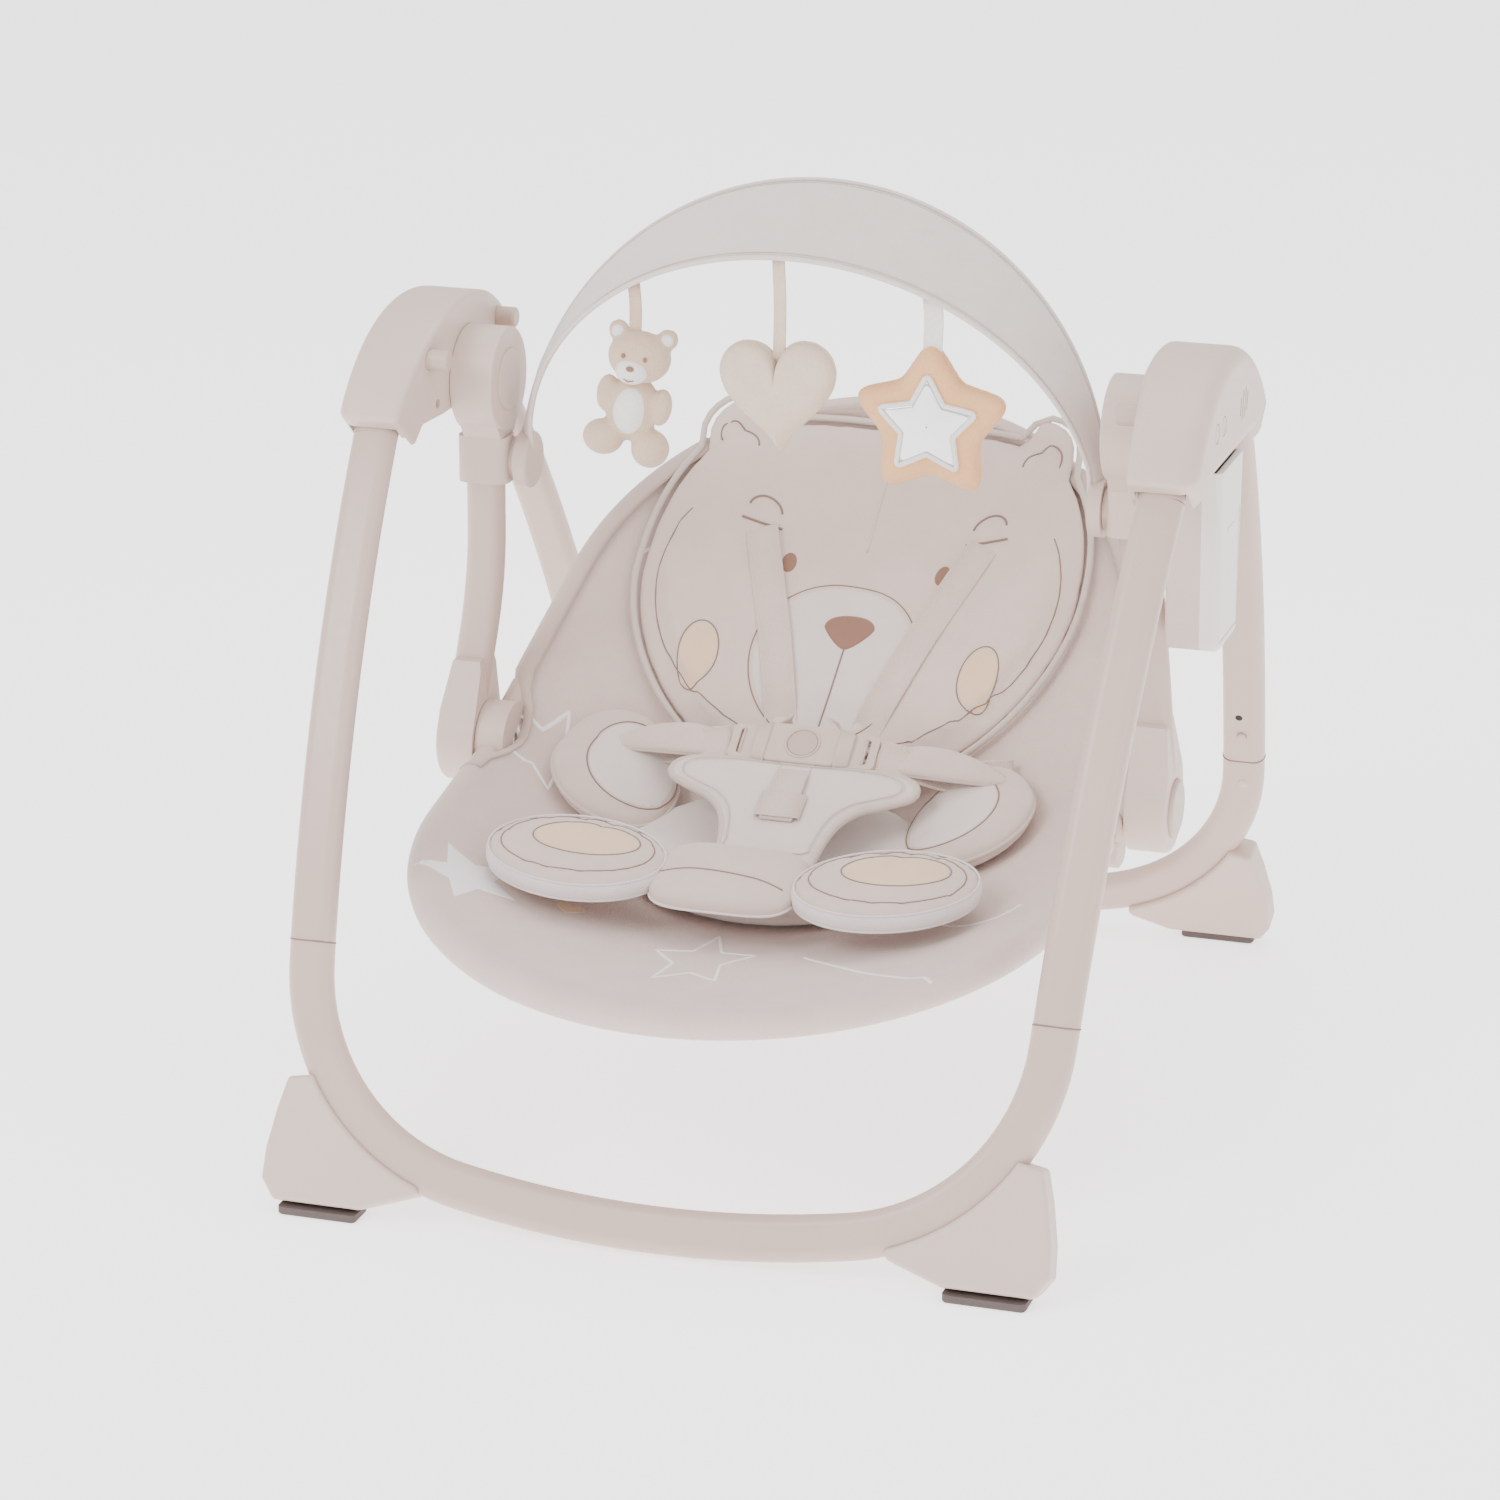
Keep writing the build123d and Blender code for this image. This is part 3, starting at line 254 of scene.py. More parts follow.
def mirror_film():
    """Silvery foil under thin plastic, slightly rippled."""
    n = Nodes("mirror_film")
    n.into(n.blend(n.noise(30.0), linear((214, 214, 214)), linear((236, 236, 236))), "Base Color")
    n.into(n.range(n.noise(80.0), 0.08, 0.16), "Roughness")
    n.into(n.bump(n.noise(28.0, 2.0), 0.25, 0.001), "Normal")
    n.set(Metallic=1.0)
    return n.mat


MAT["mirror"] = mirror_film()

NODE_MATERIALS = {
    "tube": ("front_floor_tube", "rear_floor_tube", "front_leg_tubes", "rear_leg_tubes", "swing_arms",
             "seat_front_loop", "seat_back_loop", "seat_base_tube"),
    "shell": ("left_hub_inner", "left_hub_outer", "right_hub_inner", "right_hub_outer", "front_foot_shells",
              "rear_foot_shells", "arm_heads", "arm_head_caps", "toy_bar_collars", "toy_bar_sockets",
              "hinge_housings", "seat_hinge_blocks", "buckle", "harness_tongues"),
    "shell_dark": ("left_recline_button", "right_recline_button", "buckle_button", "power_button", "music_button",
                   "left_front_fold_peg", "left_rear_fold_peg", "right_front_fold_peg", "right_rear_fold_peg",
                   "left_front_snap_button", "left_rear_snap_button", "right_front_snap_button",
                   "right_rear_snap_button"),
    "box_front": ("power_box_inner",),
    "box_back": ("power_box_outer", "battery_door"),
    "sole": ("front_foot_pads", "rear_foot_pads"),
    "steel": ("hub_screws", "leg_hinge_pins", "pivot_shafts", "seat_hinge_pins", "drive_motor", "battery_cells"),
    "nylon": ("pivot_bushes", "drive_gear", "motor_pinion"),
    "dark": ("speaker",),
    "board": ("control_board",),
}
for key, names in NODE_MATERIALS.items():
    for node in names:
        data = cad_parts[node].data
        data.materials.clear()
        data.materials.append(MAT[key])


# ---- mesh helpers -----------------------------------------------------------------------------
SIDES = ((1, "right"), (-1, "left"))


def turns(count):
    """Angles evenly spaced round one turn."""
    return [2 * pi * k / count for k in range(count)]


def squared(value, power):
    """A sine or cosine bent towards a squarer outline."""
    return abs(value) ** power * (1 if value > 0 else -1)


def piece(name, verts, faces, mat, body, slot=None):
    """A mesh object from points in millimetres, smooth shaded, riding on a body."""
    mesh = bpy.data.meshes.new(name)
    mesh.from_pydata([tuple(c * MM for c in v) for v in verts], [], faces)
    mesh.polygons.foreach_set("use_smooth", [True] * len(mesh.polygons))
    mesh.materials.append(MAT[mat])
    bm = bmesh.new()
    bm.from_mesh(mesh)
    bmesh.ops.remove_doubles(bm, verts=bm.verts, dist=1e-6)
    bmesh.ops.recalc_face_normals(bm, faces=bm.faces)
    bm.to_mesh(mesh)
    bm.free()
    obj = bpy.data.objects.new(name, mesh)
    bpy.context.collection.objects.link(obj)
    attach(obj, body)
    return obj


def lattice(rows, wrap=False, ends=False):
    """Points and quads from equal rows; wrap joins each row's ends, ends caps the first and last rows."""
    count = len(rows[0])
    verts = [p for row in rows for p in row]
    faces = []
    for i in range(len(rows) - 1):
        for j in range(count if wrap else count - 1):
            k = (j + 1) % count
            faces.append((i * count + j, i * count + k, (i + 1) * count + k, (i + 1) * count + j))
    if ends:
        faces.append(tuple(range(count)))
        faces.append(tuple(range((len(rows) - 1) * count, len(rows) * count)))
    return verts, faces


def applied(obj):
    """Bakes the object's modifiers into its mesh."""
    graph = bpy.context.evaluated_depsgraph_get()
    mesh = bpy.data.meshes.new_from_object(obj.evaluated_get(graph))
    old = obj.data
    obj.modifiers.clear()
    obj.data = mesh
    bpy.data.meshes.remove(old)
    mesh.polygons.foreach_set("use_smooth", [True] * len(mesh.polygons))
    return obj


def smooth(points, step=6.0, closed=False):
    """Catmull-Rom curve through given points, sampled about every step millimetres."""
    pts = [Vector(p) for p in points]
    n = len(pts)
    out = []
    for i in range(n if closed else n - 1):
        a, b = pts[i], pts[(i + 1) % n]
        before = pts[i - 1] if i or closed else a * 2 - b
        after = pts[(i + 2) % n] if closed or i + 2 < n else b * 2 - a
        count = max(2, int((b - a).length / step))
        for k in range(count):
            t = k / count
            out.append(0.5 * ((2 * a) + (b - before) * t + (2 * before - 5 * a + 4 * b - after) * t * t
                              + (3 * a - 3 * b + after - before) * t ** 3))
    if not closed:
        out.append(pts[-1])
    return out


def cord_mesh(name, points, radius, mat, body, closed=False, sides=8, slot=None):
    """A round strand through 3-D points, for piping and printed lines."""
    pts = [Vector(p) for p in points]
    n = len(pts)
    rows = []
    side = None
    for i, p in enumerate(pts):
        ahead = pts[(i + 1) % n] if closed or i + 1 < n else p
        back = pts[i - 1] if closed or i else p
        along = (ahead - back).normalized()
        side = (along.orthogonal() if side is None else side - along * side.dot(along)).normalized()
        up = along.cross(side)
        rows.append([p + (side * cos(a) + up * sin(a)) * radius for a in turns(sides)])
    if closed:
        rows.append(rows[0])
    return piece(name, *lattice(rows, wrap=True, ends=not closed), mat, body, slot)


def webbing(name, points, facing, width, thick, mat, body, slot="webbing", lip=0.35):
    """A flat strap through points; facing points out of its face, and its two edges are slightly thicker."""
    pts = smooth(points, 5.0)
    facing = Vector(facing)
    rows = []
    for i, p in enumerate(pts):
        along = (pts[min(i + 1, len(pts) - 1)] - pts[max(i - 1, 0)]).normalized()
        side = along.cross(facing).normalized()
        out = side.cross(along).normalized()
        row = []
        for u, h in ((-1, 0), (-0.97, 0.5 + lip), (-0.88, 0.5 + lip), (-0.84, 0.5), (0, 0.5), (0.84, 0.5),
                     (0.88, 0.5 + lip), (0.97, 0.5 + lip), (1, 0), (0.97, -0.5), (0, -0.5), (-0.97, -0.5)):
            row.append(p + side * (u * width / 2) + out * (h * thick))
        rows.append(row)
    return piece(name, *lattice(rows, wrap=True, ends=True), mat, body, slot)


def ellipse(cx, cy, a, b, count=72, turn=0.0):
    t = radians(turn)
    pts = []
    for k in range(count):
        u, v = a * cos(2 * pi * k / count), b * sin(2 * pi * k / count)
        pts.append((cx + u * cos(t) - v * sin(t), cy + u * sin(t) + v * cos(t)))
    return pts


def cushion(name, outline, centre, place, thick, mat, body, rings=20, square=0.62, slot=None, pucker=0.5,
            flat=0.35):
    """A closed crowned form: outline shrinks toward centre; place(u, v, h) puts each point in the seat.
    h runs from 0 at the underside to thick at the crown; the seam is where the outline is full size."""
    seam = thick * flat
    rows = []
    for k in range(rings + 1):
        a = pi * k / rings
        rho = sin(a) ** square
        h = cos(a)
        lift = seam + (thick - seam) * abs(h) ** 0.85 if h > 0 else seam * (1 - abs(h) ** 0.6)
        row = []
        for j, (u, v) in enumerate(outline):
            ripple = pucker * sin(j * 1.9) * sin(j * 0.43 + 1) * rho ** 8 * (1 - abs(h))
            x, y = centre[0] + (u - centre[0]) * rho, centre[1] + (v - centre[1]) * rho
            row.append(place(x, y, lift + ripple))
        rows.append(row)
    return piece(name, *lattice(rows, wrap=True), mat, body, slot)


# ---- seat surface -----------------------------------------------------------------------------
def half_width(y):
    """Half width between the loops' centre lines."""
    if y < SEAT_Y:
        s = (SEAT_Y - y) / cos(radians(FRONT_SLOPE))
        past = s - (FRONT_REACH - FRONT_R)
        return sqrt(max(FRONT_R ** 2 - past ** 2, 0.0)) if past > 0 else LOOP_X
    s = (y - SEAT_Y) / cos(radians(BACK_SLOPE))
    past = s - (BACK_REACH - BACK_R)
    if past > BACK_R * sin(radians(BACK_FLARE)):
        return sqrt(max(BACK_R ** 2 - past ** 2, 0.0))
    return LOOP_X - max(s - LOOP_START, 0.0) * tan(radians(BACK_FLARE))


def rim_height(y):
    slope = -FRONT_SLOPE if y < SEAT_Y else BACK_SLOPE
    return SEAT_Z + (y - SEAT_Y) * tan(radians(slope))


def smoothed(values, width):
    reach = int(3 * width)
    kernel = np.array([exp(-0.5 * (k / width) ** 2) for k in range(-reach, reach + 1)])
    padded = np.pad(values, reach, mode="edge")
    return np.convolve(padded, kernel / kernel.sum(), mode="valid")


SPINE_Y = np.arange(-370.0, 300.0)
SPINE_Z = smoothed(np.interp(SPINE_Y, COVER_Y, COVER_Z), 14.0)


def cloth(x, y):
    """Height of the seat cover's upper face."""
    centre = float(np.interp(y, SPINE_Y, SPINE_Z))
    edge = rim_height(y) + EDGE_LIFT
    share = min(abs(x) / max(half_width(y) - 6.0, 20.0), 1.0)
    if y > 225:
        centre += (edge - centre) * min((y - 225) / 42, 1.0) ** 2
    return centre + (edge - centre) * share ** 2


def loop_edge():
    """Right half of the cover's edge, front to back: (centre, outward, is there a rod)."""
    edge = []
    for k in range(33):
        a = radians(90 - 90 * k / 32)
        edge.append((FRONT_R * cos(a), FRONT_REACH - FRONT_R + FRONT_R * sin(a), -1, cos(a), sin(a)))
    for k in range(1, 8):
        edge.append((LOOP_X, (FRONT_REACH - FRONT_R) * (1 - k / 8), -1, 1.0, 0.0))
    edge.append((LOOP_X, 0.0, 1, 1.0, 0.0))
    turn = radians(BACK_FLARE)
    for k in range(1, 11):
        s = (BACK_REACH - BACK_R + BACK_R * sin(turn)) * k / 11
        edge.append((LOOP_X - max(s - LOOP_START, 0) * tan(turn), s, 1, cos(turn), sin(turn)))
    for k in range(30):
        a = turn + (pi / 2 - turn) * k / 29
        edge.append((BACK_R * cos(a), BACK_REACH - BACK_R + BACK_R * sin(a), 1, cos(a), sin(a)))
    out = []
    for x, s, way, nx, ns in edge:
        slope = radians(-FRONT_SLOPE if way < 0 else BACK_SLOPE) * way
        reach = Vector((0, way * cos(slope), sin(slope)))
        near = exp(-(s / 40.0) ** 4)
        point = Vector((x - (LOOP_X - HEM_X) * near, SEAT_Y, SEAT_Z)) + reach * s
        normal = (Vector((nx, 0, 0)) + reach * ns).normalized()
        up = Vector((0, -sin(slope) * way, cos(slope)))
        out.append((point, normal, up, SLEEVE_R - 6.0 * near))
    return out


def mirrored(v):
    return Vector((-v[0], v[1], v[2]))


def whole_edge():
    right = loop_edge()
    left = [(mirrored(p), mirrored(n), mirrored(u), r) for p, n, u, r in reversed(right[1:-1])]
    return right + left


def seat_cover():
    """The sling between the loops, rolled round each rod."""
    middle = Vector((0.0, -10.0, 0.0))
    edge = whole_edge()
    rows = []
    for k in range(1, 30):
        share = k / 29.0
        row = []
        for p, n, up, r in edge:
            inner = p - n * (r * 0.6)
            x, y = middle.x + (inner.x - middle.x) * share, middle.y + (inner.y - middle.y) * share
            fold = 0.9 * noise.noise(Vector((x * 0.02, y * 0.02, 0.3))) * sin(pi * share)
            z = cloth(x, y) + fold
            if k == 29:
                z = inner.z + r * 0.8 * up.z
            row.append((x, y, z))
        rows.append(row)
    for turn in (-15, 10, 35, 60, 85, 110, 135, 160, 185, 205):
        a = radians(turn)
        rows.append([p + (n * sin(a) + up * cos(a)) * r for p, n, up, r in edge])
    hem = radians(215)
    rows.append([p + (n * sin(hem) + up * cos(hem)) * (r + 5) for p, n, up, r in edge])
    verts, faces = lattice(rows, wrap=True)
    count = len(rows[0])
    verts.append((middle.x, middle.y, cloth(middle.x, middle.y)))
    faces += [(len(verts) - 1, (j + 1) % count, j) for j in range(count)]
    obj = piece("seat_cover_cloth", verts, faces, "cloth", "seat", "seat_fabric")
    solid = obj.modifiers.new("thickness", "SOLIDIFY")
    solid.thickness = 2.4 * MM
    solid.offset = -1.0
    return applied(obj)


def surface_of(*objs):
    """What prints and pads lie on: returns drop(x, y), the height in millimetres of the highest of objs."""
    trees = []
    for o in objs:
        faces = [tuple(p.vertices) for p in o.data.polygons]
        trees.append(BVHTree.FromPolygons([v.co for v in o.data.vertices], faces))

    def drop(x, y, default=None):
        best = None
        for tree in trees:
            hit = tree.ray_cast(Vector((x * MM, y * MM, 1.0)), Vector((0, 0, -1)))[0]
            if hit is not None and (best is None or hit.z > best):
                best = hit.z
        if best is None:
            return cloth(x, y) if default is None else default
        return best / MM
    return drop


def patch(name, outline, centre, drop, mat, lift=0.35, rings=10):
    """A printed or appliqued shape that follows a surface."""
    rows = []
    for k in range(rings + 1):
        share = (k + 0.02) / (rings + 0.02)
        row = []
        for u, v in outline:
            x, y = centre[0] + (u - centre[0]) * share, centre[1] + (v - centre[1]) * share
            row.append((x, y, drop(x, y) + (lift if k < rings else -0.4)))
        rows.append(row)
    return piece(name, *lattice(rows, wrap=True), mat, "seat")


def printed_line(name, points, drop, radius=0.55, mat="line", closed=False, step=3.0, sink=0.1):
    pts = smooth([(x, y, 0) for x, y in points], step, closed)
    on_top = [(p.x, p.y, drop(p.x, p.y) + radius * sink) for p in pts]
    return cord_mesh(name, on_top, radius, mat, "seat", closed, 6)


def star_points(cx, cy, outer, inner, turn):
    pts = []
    for k in range(10):
        r, a = (outer if k % 2 == 0 else inner), radians(turn + 36 * k)
        pts.append((cx + r * cos(a), cy + r * sin(a)))
    return pts


def dense(points, step, closed=True):
    """Straight runs between points, sampled every step."""
    out = []
    n = len(points)
    for i in range(n if closed else n - 1):
        a, b = points[i], points[(i + 1) % n]
        count = max(1, int(sqrt((b[0] - a[0]) ** 2 + (b[1] - a[1]) ** 2) / step))
        out += [(a[0] + (b[0] - a[0]) * k / count, a[1] + (b[1] - a[1]) * k / count) for k in range(count)]
    return out if closed else out + [points[-1]]


def band_on(name, points, width, drop, mat, closed=True):
    """A flat printed stroke of some width along a polyline on a surface."""
    pts = [Vector((x, y, 0)) for x, y in dense(points, 4.0, closed)]
    n = len(pts)
    rows = []
    for i, p in enumerate(pts):
        a = pts[i - 1] if closed or i else p
        b = pts[(i + 1) % n] if closed or i + 1 < n else p
        along = (b - a).normalized()
        side = Vector((-along.y, along.x, 0)) * (width / 2)
        row = []
        for share, lift in ((-1, -0.3), (-0.9, 0.3), (0, 0.35), (0.9, 0.3), (1, -0.3)):
            q = p + side * share
            row.append((q.x, q.y, drop(q.x, q.y) + lift))
        rows.append(row)
    if closed:
        rows.append(rows[0])
    return piece(name, *lattice(rows), mat, "seat")


# ---- seat cover, with its binding and prints --------------------------------------------------
cover = seat_cover()
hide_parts("seat_cover")
on_cover = surface_of(cover)


def cover_trim():
    """Folded binding strip along each side of the back."""
    edge = loop_edge()
    for side, name in SIDES:
        rows = []
        for p, n, up, r in edge[36:66]:
            rows.append([p + (n * sin(radians(a)) + up * cos(radians(a))) * (r + 0.9)
                         for a in (-38, -20, 0, 20, 40, 60)])
        if side < 0:
            rows = [[mirrored(q) for q in row] for row in rows]
        strip = piece(f"cover_binding_{name}", *lattice(rows), "binding", "seat", "seat_fabric")
        thick = strip.modifiers.new("thickness", "SOLIDIFY")
        thick.thickness = 0.9 * MM
        applied(strip)


def cover_prints():
    """Outlined and filled stars, a small heart and two strokes on the lower cover."""
    tall = [(x, -226 + (y + 226) * 1.7) for x, y in star_points(-6, -226, 36, 17, 98)]
    band_on("print_star_front", tall, 3.0, on_cover, "white")
    band_on("print_star_left", star_points(-200, -2, 36, 17, 78), 3.0, on_cover, "white")
    star = dense(star_points(-190, -189, 42, 19, 60), 4.0)
    patch("print_star_solid", star, (-190, -189), on_cover, "white")
    heart = [(-118 + 11 * x, -180 + 11 * y) for x, y in heart_outline(40)]
    patch("print_heart", heart, (-118, -180), on_cover, "peach")
    arc = [(172 + 34 * cos(radians(a)), -128 + 34 * sin(radians(a))) for a in range(200, 331, 10)]
    band_on("print_arc", arc, 2.6, on_cover, "white", closed=False)
    band_on("print_stroke", [(62, -200), (120, -246), (176, -282)], 3.4, on_cover, "white", closed=False)
    band_on("print_stroke_back", [(-176, 150), (-140, 176), (-122, 180)], 2.4, on_cover, "white", closed=False)


def heart_outline(count=64):
    """Heart of half height about 1, its point downward."""
    pts = []
    for t in turns(count):
        pts.append((sin(t) ** 3, (13 * cos(t) - 5 * cos(2 * t) - 2 * cos(3 * t) - cos(4 * t)) / 16 + 0.12))
    return pts


cover_trim()
cover_prints()


# ---- bear-face head support ---------------------------------------------------------------------
FACE_C = (0.0, 138.0)
FACE_A, FACE_B = 172.0, 118.0
EAR_X, EAR_Y, EAR_R = 119.0, 219.0, 28.0


def face_outline(grow=0.0, count=144):
    """Wide head with two ears, as one closed outline seen from the centre."""
    pts = []
    ear_y = EAR_Y - FACE_C[1]
    distance, bearing = sqrt(EAR_X ** 2 + ear_y ** 2), atan2(ear_y, EAR_X)
    for a in turns(count):
        square = 2.5 if sin(a) > 0 else 2.0
        r = (abs(cos(a) / (FACE_A + grow)) ** square + abs(sin(a) / (FACE_B + grow)) ** square) ** (-1 / square)
        for middle in (bearing, pi - bearing):
            off = distance * sin(a - middle)
            if abs(off) < EAR_R + grow and cos(a - middle) > 0:
                r = max(r, distance * cos(a - middle) + sqrt((EAR_R + grow) ** 2 - off ** 2))
        pts.append((FACE_C[0] + r * cos(a), FACE_C[1] + r * sin(a)))
    return pts


def pad_base(x, y):
    """What the head pad lies on: the cover, and the sleeve of the back loop under its ears."""
    over = max(0.0, abs(x) - half_width(y) + 26) / 26
    return cloth(x, y) + 1.0 + min(over, 1.0) ** 2 * 9.0


def on_base(x, y, h):
    return (x, y, pad_base(x, y) + h)


def puff(obj, cap, pressure=4.0):
    """Inflates a closed form with a short cloth simulation and keeps each point within cap millimetres."""
    start = np.array([v.co for v in obj.data.vertices])
    cloth_mod = obj.modifiers.new("puff", "CLOTH")
    cloth_mod.settings.quality = 4
    cloth_mod.settings.mass = 0.2
    cloth_mod.settings.tension_stiffness = 12
    cloth_mod.settings.bending_stiffness = 0.8
    cloth_mod.settings.use_pressure = True
    cloth_mod.settings.uniform_pressure_force = pressure
    cloth_mod.settings.effector_weights.gravity = 0
    cloth_mod.collision_settings.use_collision = False
    for step in range(1, 15):
        bpy.context.scene.frame_set(step)
    bpy.context.view_layer.update()
    graph = bpy.context.evaluated_depsgraph_get()
    moved = np.array([v.co for v in obj.evaluated_get(graph).data.vertices])
    obj.modifiers.clear()
    bpy.context.scene.frame_set(1)
    shift = moved - start
    far = np.linalg.norm(shift, axis=1, keepdims=True)
    shift *= np.minimum(1.0, cap * MM / np.maximum(far, 1e-9))
    obj.data.vertices.foreach_set("co", (start + shift).ravel())
    obj.data.update()


def bear_face():
    pad = cushion("head_pad", face_outline(), FACE_C, on_base, HEAD_PAD_T, "face", "seat", rings=34, square=0.5,
                  slot="plush_fabric", flat=0.42)
    puff(pad, 5.0)
    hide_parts("bear_pad")
    drop = surface_of(pad)
    seam = [on_base(x, y, HEAD_PAD_T * 0.42) for x, y in face_outline(1.0)]
    cord_mesh("head_pad_piping", seam, 2.6, "piping", "seat", closed=True, sides=8, slot="plush_fabric")
    inset = [(x, y) for x, y in ellipse(0, 134, FACE_A - 17, FACE_B - 20, 60) if y < 175]
    inset.sort(key=lambda q: atan2(q[0], 134 - q[1]))
    printed_line("face_outline", inset, drop)
    for s, side in SIDES:
        ear = [(s * (EAR_X + 15 * cos(radians(a))), EAR_Y + 3 + 8 * sin(radians(a))) for a in range(-30, 190, 15)]
        printed_line(f"ear_line_{side}", ear, drop, 0.7)
        patch(f"cheek_{side}", ellipse(s * 108, 83, 14.5, 19, 40), (s * 108, 83), drop, "peach")
        printed_line(f"cheek_line_{side}", ellipse(s * 108, 83, 15, 19.5, 28), drop, closed=True)
        eye = ellipse(s * 60, 158, 6, 8, 28)
        patch(f"eye_{side}", eye, (s * 60, 158), drop, "brown", 0.5)
        brow = [(s * 88 + 13 * cos(radians(a)), 188 + 9 * sin(radians(a))) for a in range(10, 171, 16)]
        printed_line(f"brow_{side}", brow, drop, 0.9)
    patch("muzzle", ellipse(-7, 94, 63, 54, 64), (-7, 94), drop, "muzzle", 0.3)
    lifted = surface_of(pad)
    printed_line("muzzle_line", ellipse(-7, 94, 63, 54, 48), lifted, closed=True)
    nose = [(20 * x, 114 + 13 * y * (1.1 if y > 0 else 1)) for x, y in
            [(sin(t) * (1 - 0.18 * cos(t)), -cos(t) if cos(t) > 0 else -cos(t) * 0.85)
             for t in turns(40)]]
    nose = [(x * (0.55 + 0.45 * min(1.0, max(0.0, (y - 100) / 16))), y) for x, y in nose]
    patch("nose", nose, (0, 115), lambda x, y: drop(x, y) + 0.3, "brown", 0.6)
    printed_line("mouth", [(0, 102), (-2, 70), (-5, 40)], lambda x, y: drop(x, y) + 0.3, 0.7)
    printed_line("face_seam", [(-2, 232), (-4, 205), (-4, 176)], drop, 1.0, "face")
    return drop


on_head = bear_face()


# ---- seat insert: petals, paws and front pad -----------------------------------------------------
def lean_place(cx, cy, z, tilt, roll=0.0):
    """Places a pad on its own sloping plane: z at its middle, falling toward -Y by tilt degrees."""
    def place(x, y, h):
        return (x, y, z + (y - cy) * tan(radians(tilt)) + (x - cx) * tan(radians(roll)) + h)
    return place


def insert_base():
    """Thin quilted layer on the seat under the thighs and hips."""
    outline = ellipse(0, -62, 116, 84, 96)
    pad = cushion("insert_base", outline, (0, -62), lambda x, y, h: (x, y, cloth(x, y) + 1 + h), 20.0, "cream",
                  "seat", rings=22, square=0.45, slot="insert_fabric")
    return pad


def petal(s, side):
    cx, cy = (128.0, -20.0) if s > 0 else (-139.0, -10.0)
    outline = [(cx + s * (49 * cos(a) if cos(a) > 0 else 44 * cos(a)), cy + 48 * sin(a))
               for a in turns(80)]
    pad = cushion(f"petal_{side}", outline, (cx, cy), lambda x, y, h: (x, y, cloth(x, y) + 3 + h), 24.0, "insert",
                  "seat", rings=24, square=0.5, slot="insert_fabric", flat=0.45)
    puff(pad, 4.0)
    drop = surface_of(pad)
    inner = [(cx - s * 10 + s * 33 * cos(a), cy + 1 + 35 * sin(a)) for a in turns(56)]
    patch(f"petal_panel_{side}", inner, (cx - s * 10, cy + 1), drop, "cream")
    printed_line(f"petal_line_{side}", inner[::2], drop, 0.6, closed=True)
    seam = [(x, y, cloth(x, y) + 3 + 24 * 0.45) for x, y in outline]
    cord_mesh(f"petal_piping_{side}", seam, 1.6, "piping", "seat", closed=True, slot="insert_fabric")


PAW_T = 17.0


def paw(cx, side):
    cy = -160.0
    outline = ellipse(cx, cy, 66, 50, 96, -4 if cx < 0 else 6)
    place = lean_place(cx, cy, 199.0, 8.0, 3 if cx > 0 else -3)
    pad = cushion(f"paw_{side}", outline, (cx, cy), place, PAW_T, "insert", "seat", rings=24, square=0.36,
                  slot="insert_fabric", flat=0.5, pucker=0.7)
    puff(pad, 3.5)
    drop = surface_of(pad)
    wall = [[place(cx + (x - cx) * g, cy + (y - cy) * g, h) for x, y in outline]
            for g, h in ((0.985, 1.2), (1.008, 3.0), (1.014, 7.0), (1.008, 10.5), (0.985, 12.4))]
    piece(f"paw_side_{side}", *lattice(wall, wrap=True), "side", "seat", "insert_fabric")
    for name, g, h in (("top", 0.985, 12.6), ("low", 0.985, 1.0)):
        ring = [place(cx + (x - cx) * g, cy + (y - cy) * g, h) for x, y in outline]
        cord_mesh(f"paw_{name}_seam_{side}", ring, 0.9, "side", "seat", closed=True, sides=6)
    printed_line(f"paw_line_{side}", ellipse(cx, cy + 2, 56, 39, 40), drop, closed=True)
    oval = ellipse(cx + 5, cy + 7, 39, 24, 56, 3)
    patch(f"paw_oval_{side}", oval, (cx + 5, cy + 7), drop, "peach")
    printed_line(f"paw_oval_line_{side}", oval[::2], drop, closed=True)


def front_pad():
    """The pad between the paws, with a stitched fold near its front edge."""
    cx, cy = -6.0, -160.0
    outline = []
    for a in turns(96):
        c, s = cos(a), sin(a)
        outline.append((cx + 54 * squared(c, 0.45), cy + 38 * squared(s, 0.6)))
    place = lean_place(cx, cy, 193.0, 12.0)
    pad = cushion("front_pad", outline, (cx, cy), place, 18.0, "insert", "seat", rings=24, square=0.42,
                  slot="insert_fabric", flat=0.45)
    puff(pad, 3.5)
    drop = surface_of(pad)
    fold = [(cx - 47, cy - 10), (cx - 20, cy - 7), (cx + 20, cy - 11), (cx + 45, cy - 18)]
    printed_line("front_pad_fold", fold, drop, 0.7)
    seam = [place(x, y, 5.5) for x, y in outline]
    cord_mesh("front_pad_seam", seam, 1.0, "side", "seat", closed=True, sides=6)


base = insert_base()
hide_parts("seat_insert")
for s, side in SIDES:
    petal(s, side)
paw(-119.0, "left")
paw(109.0, "right")
front_pad()


# ---- crotch pad, harness and buckle details -----------------------------------------------------
def tilted(origin, tilt):
    """Maps (u, v, h) on a plane that faces up and forward to the seat."""
    o, t = Vector(origin), radians(tilt)
    across, up, out = Vector((1, 0, 0)), Vector((0, cos(t), sin(t))), Vector((0, -sin(t), cos(t)))
    return lambda u, v, h: tuple(o + across * u + up * v + out * h)


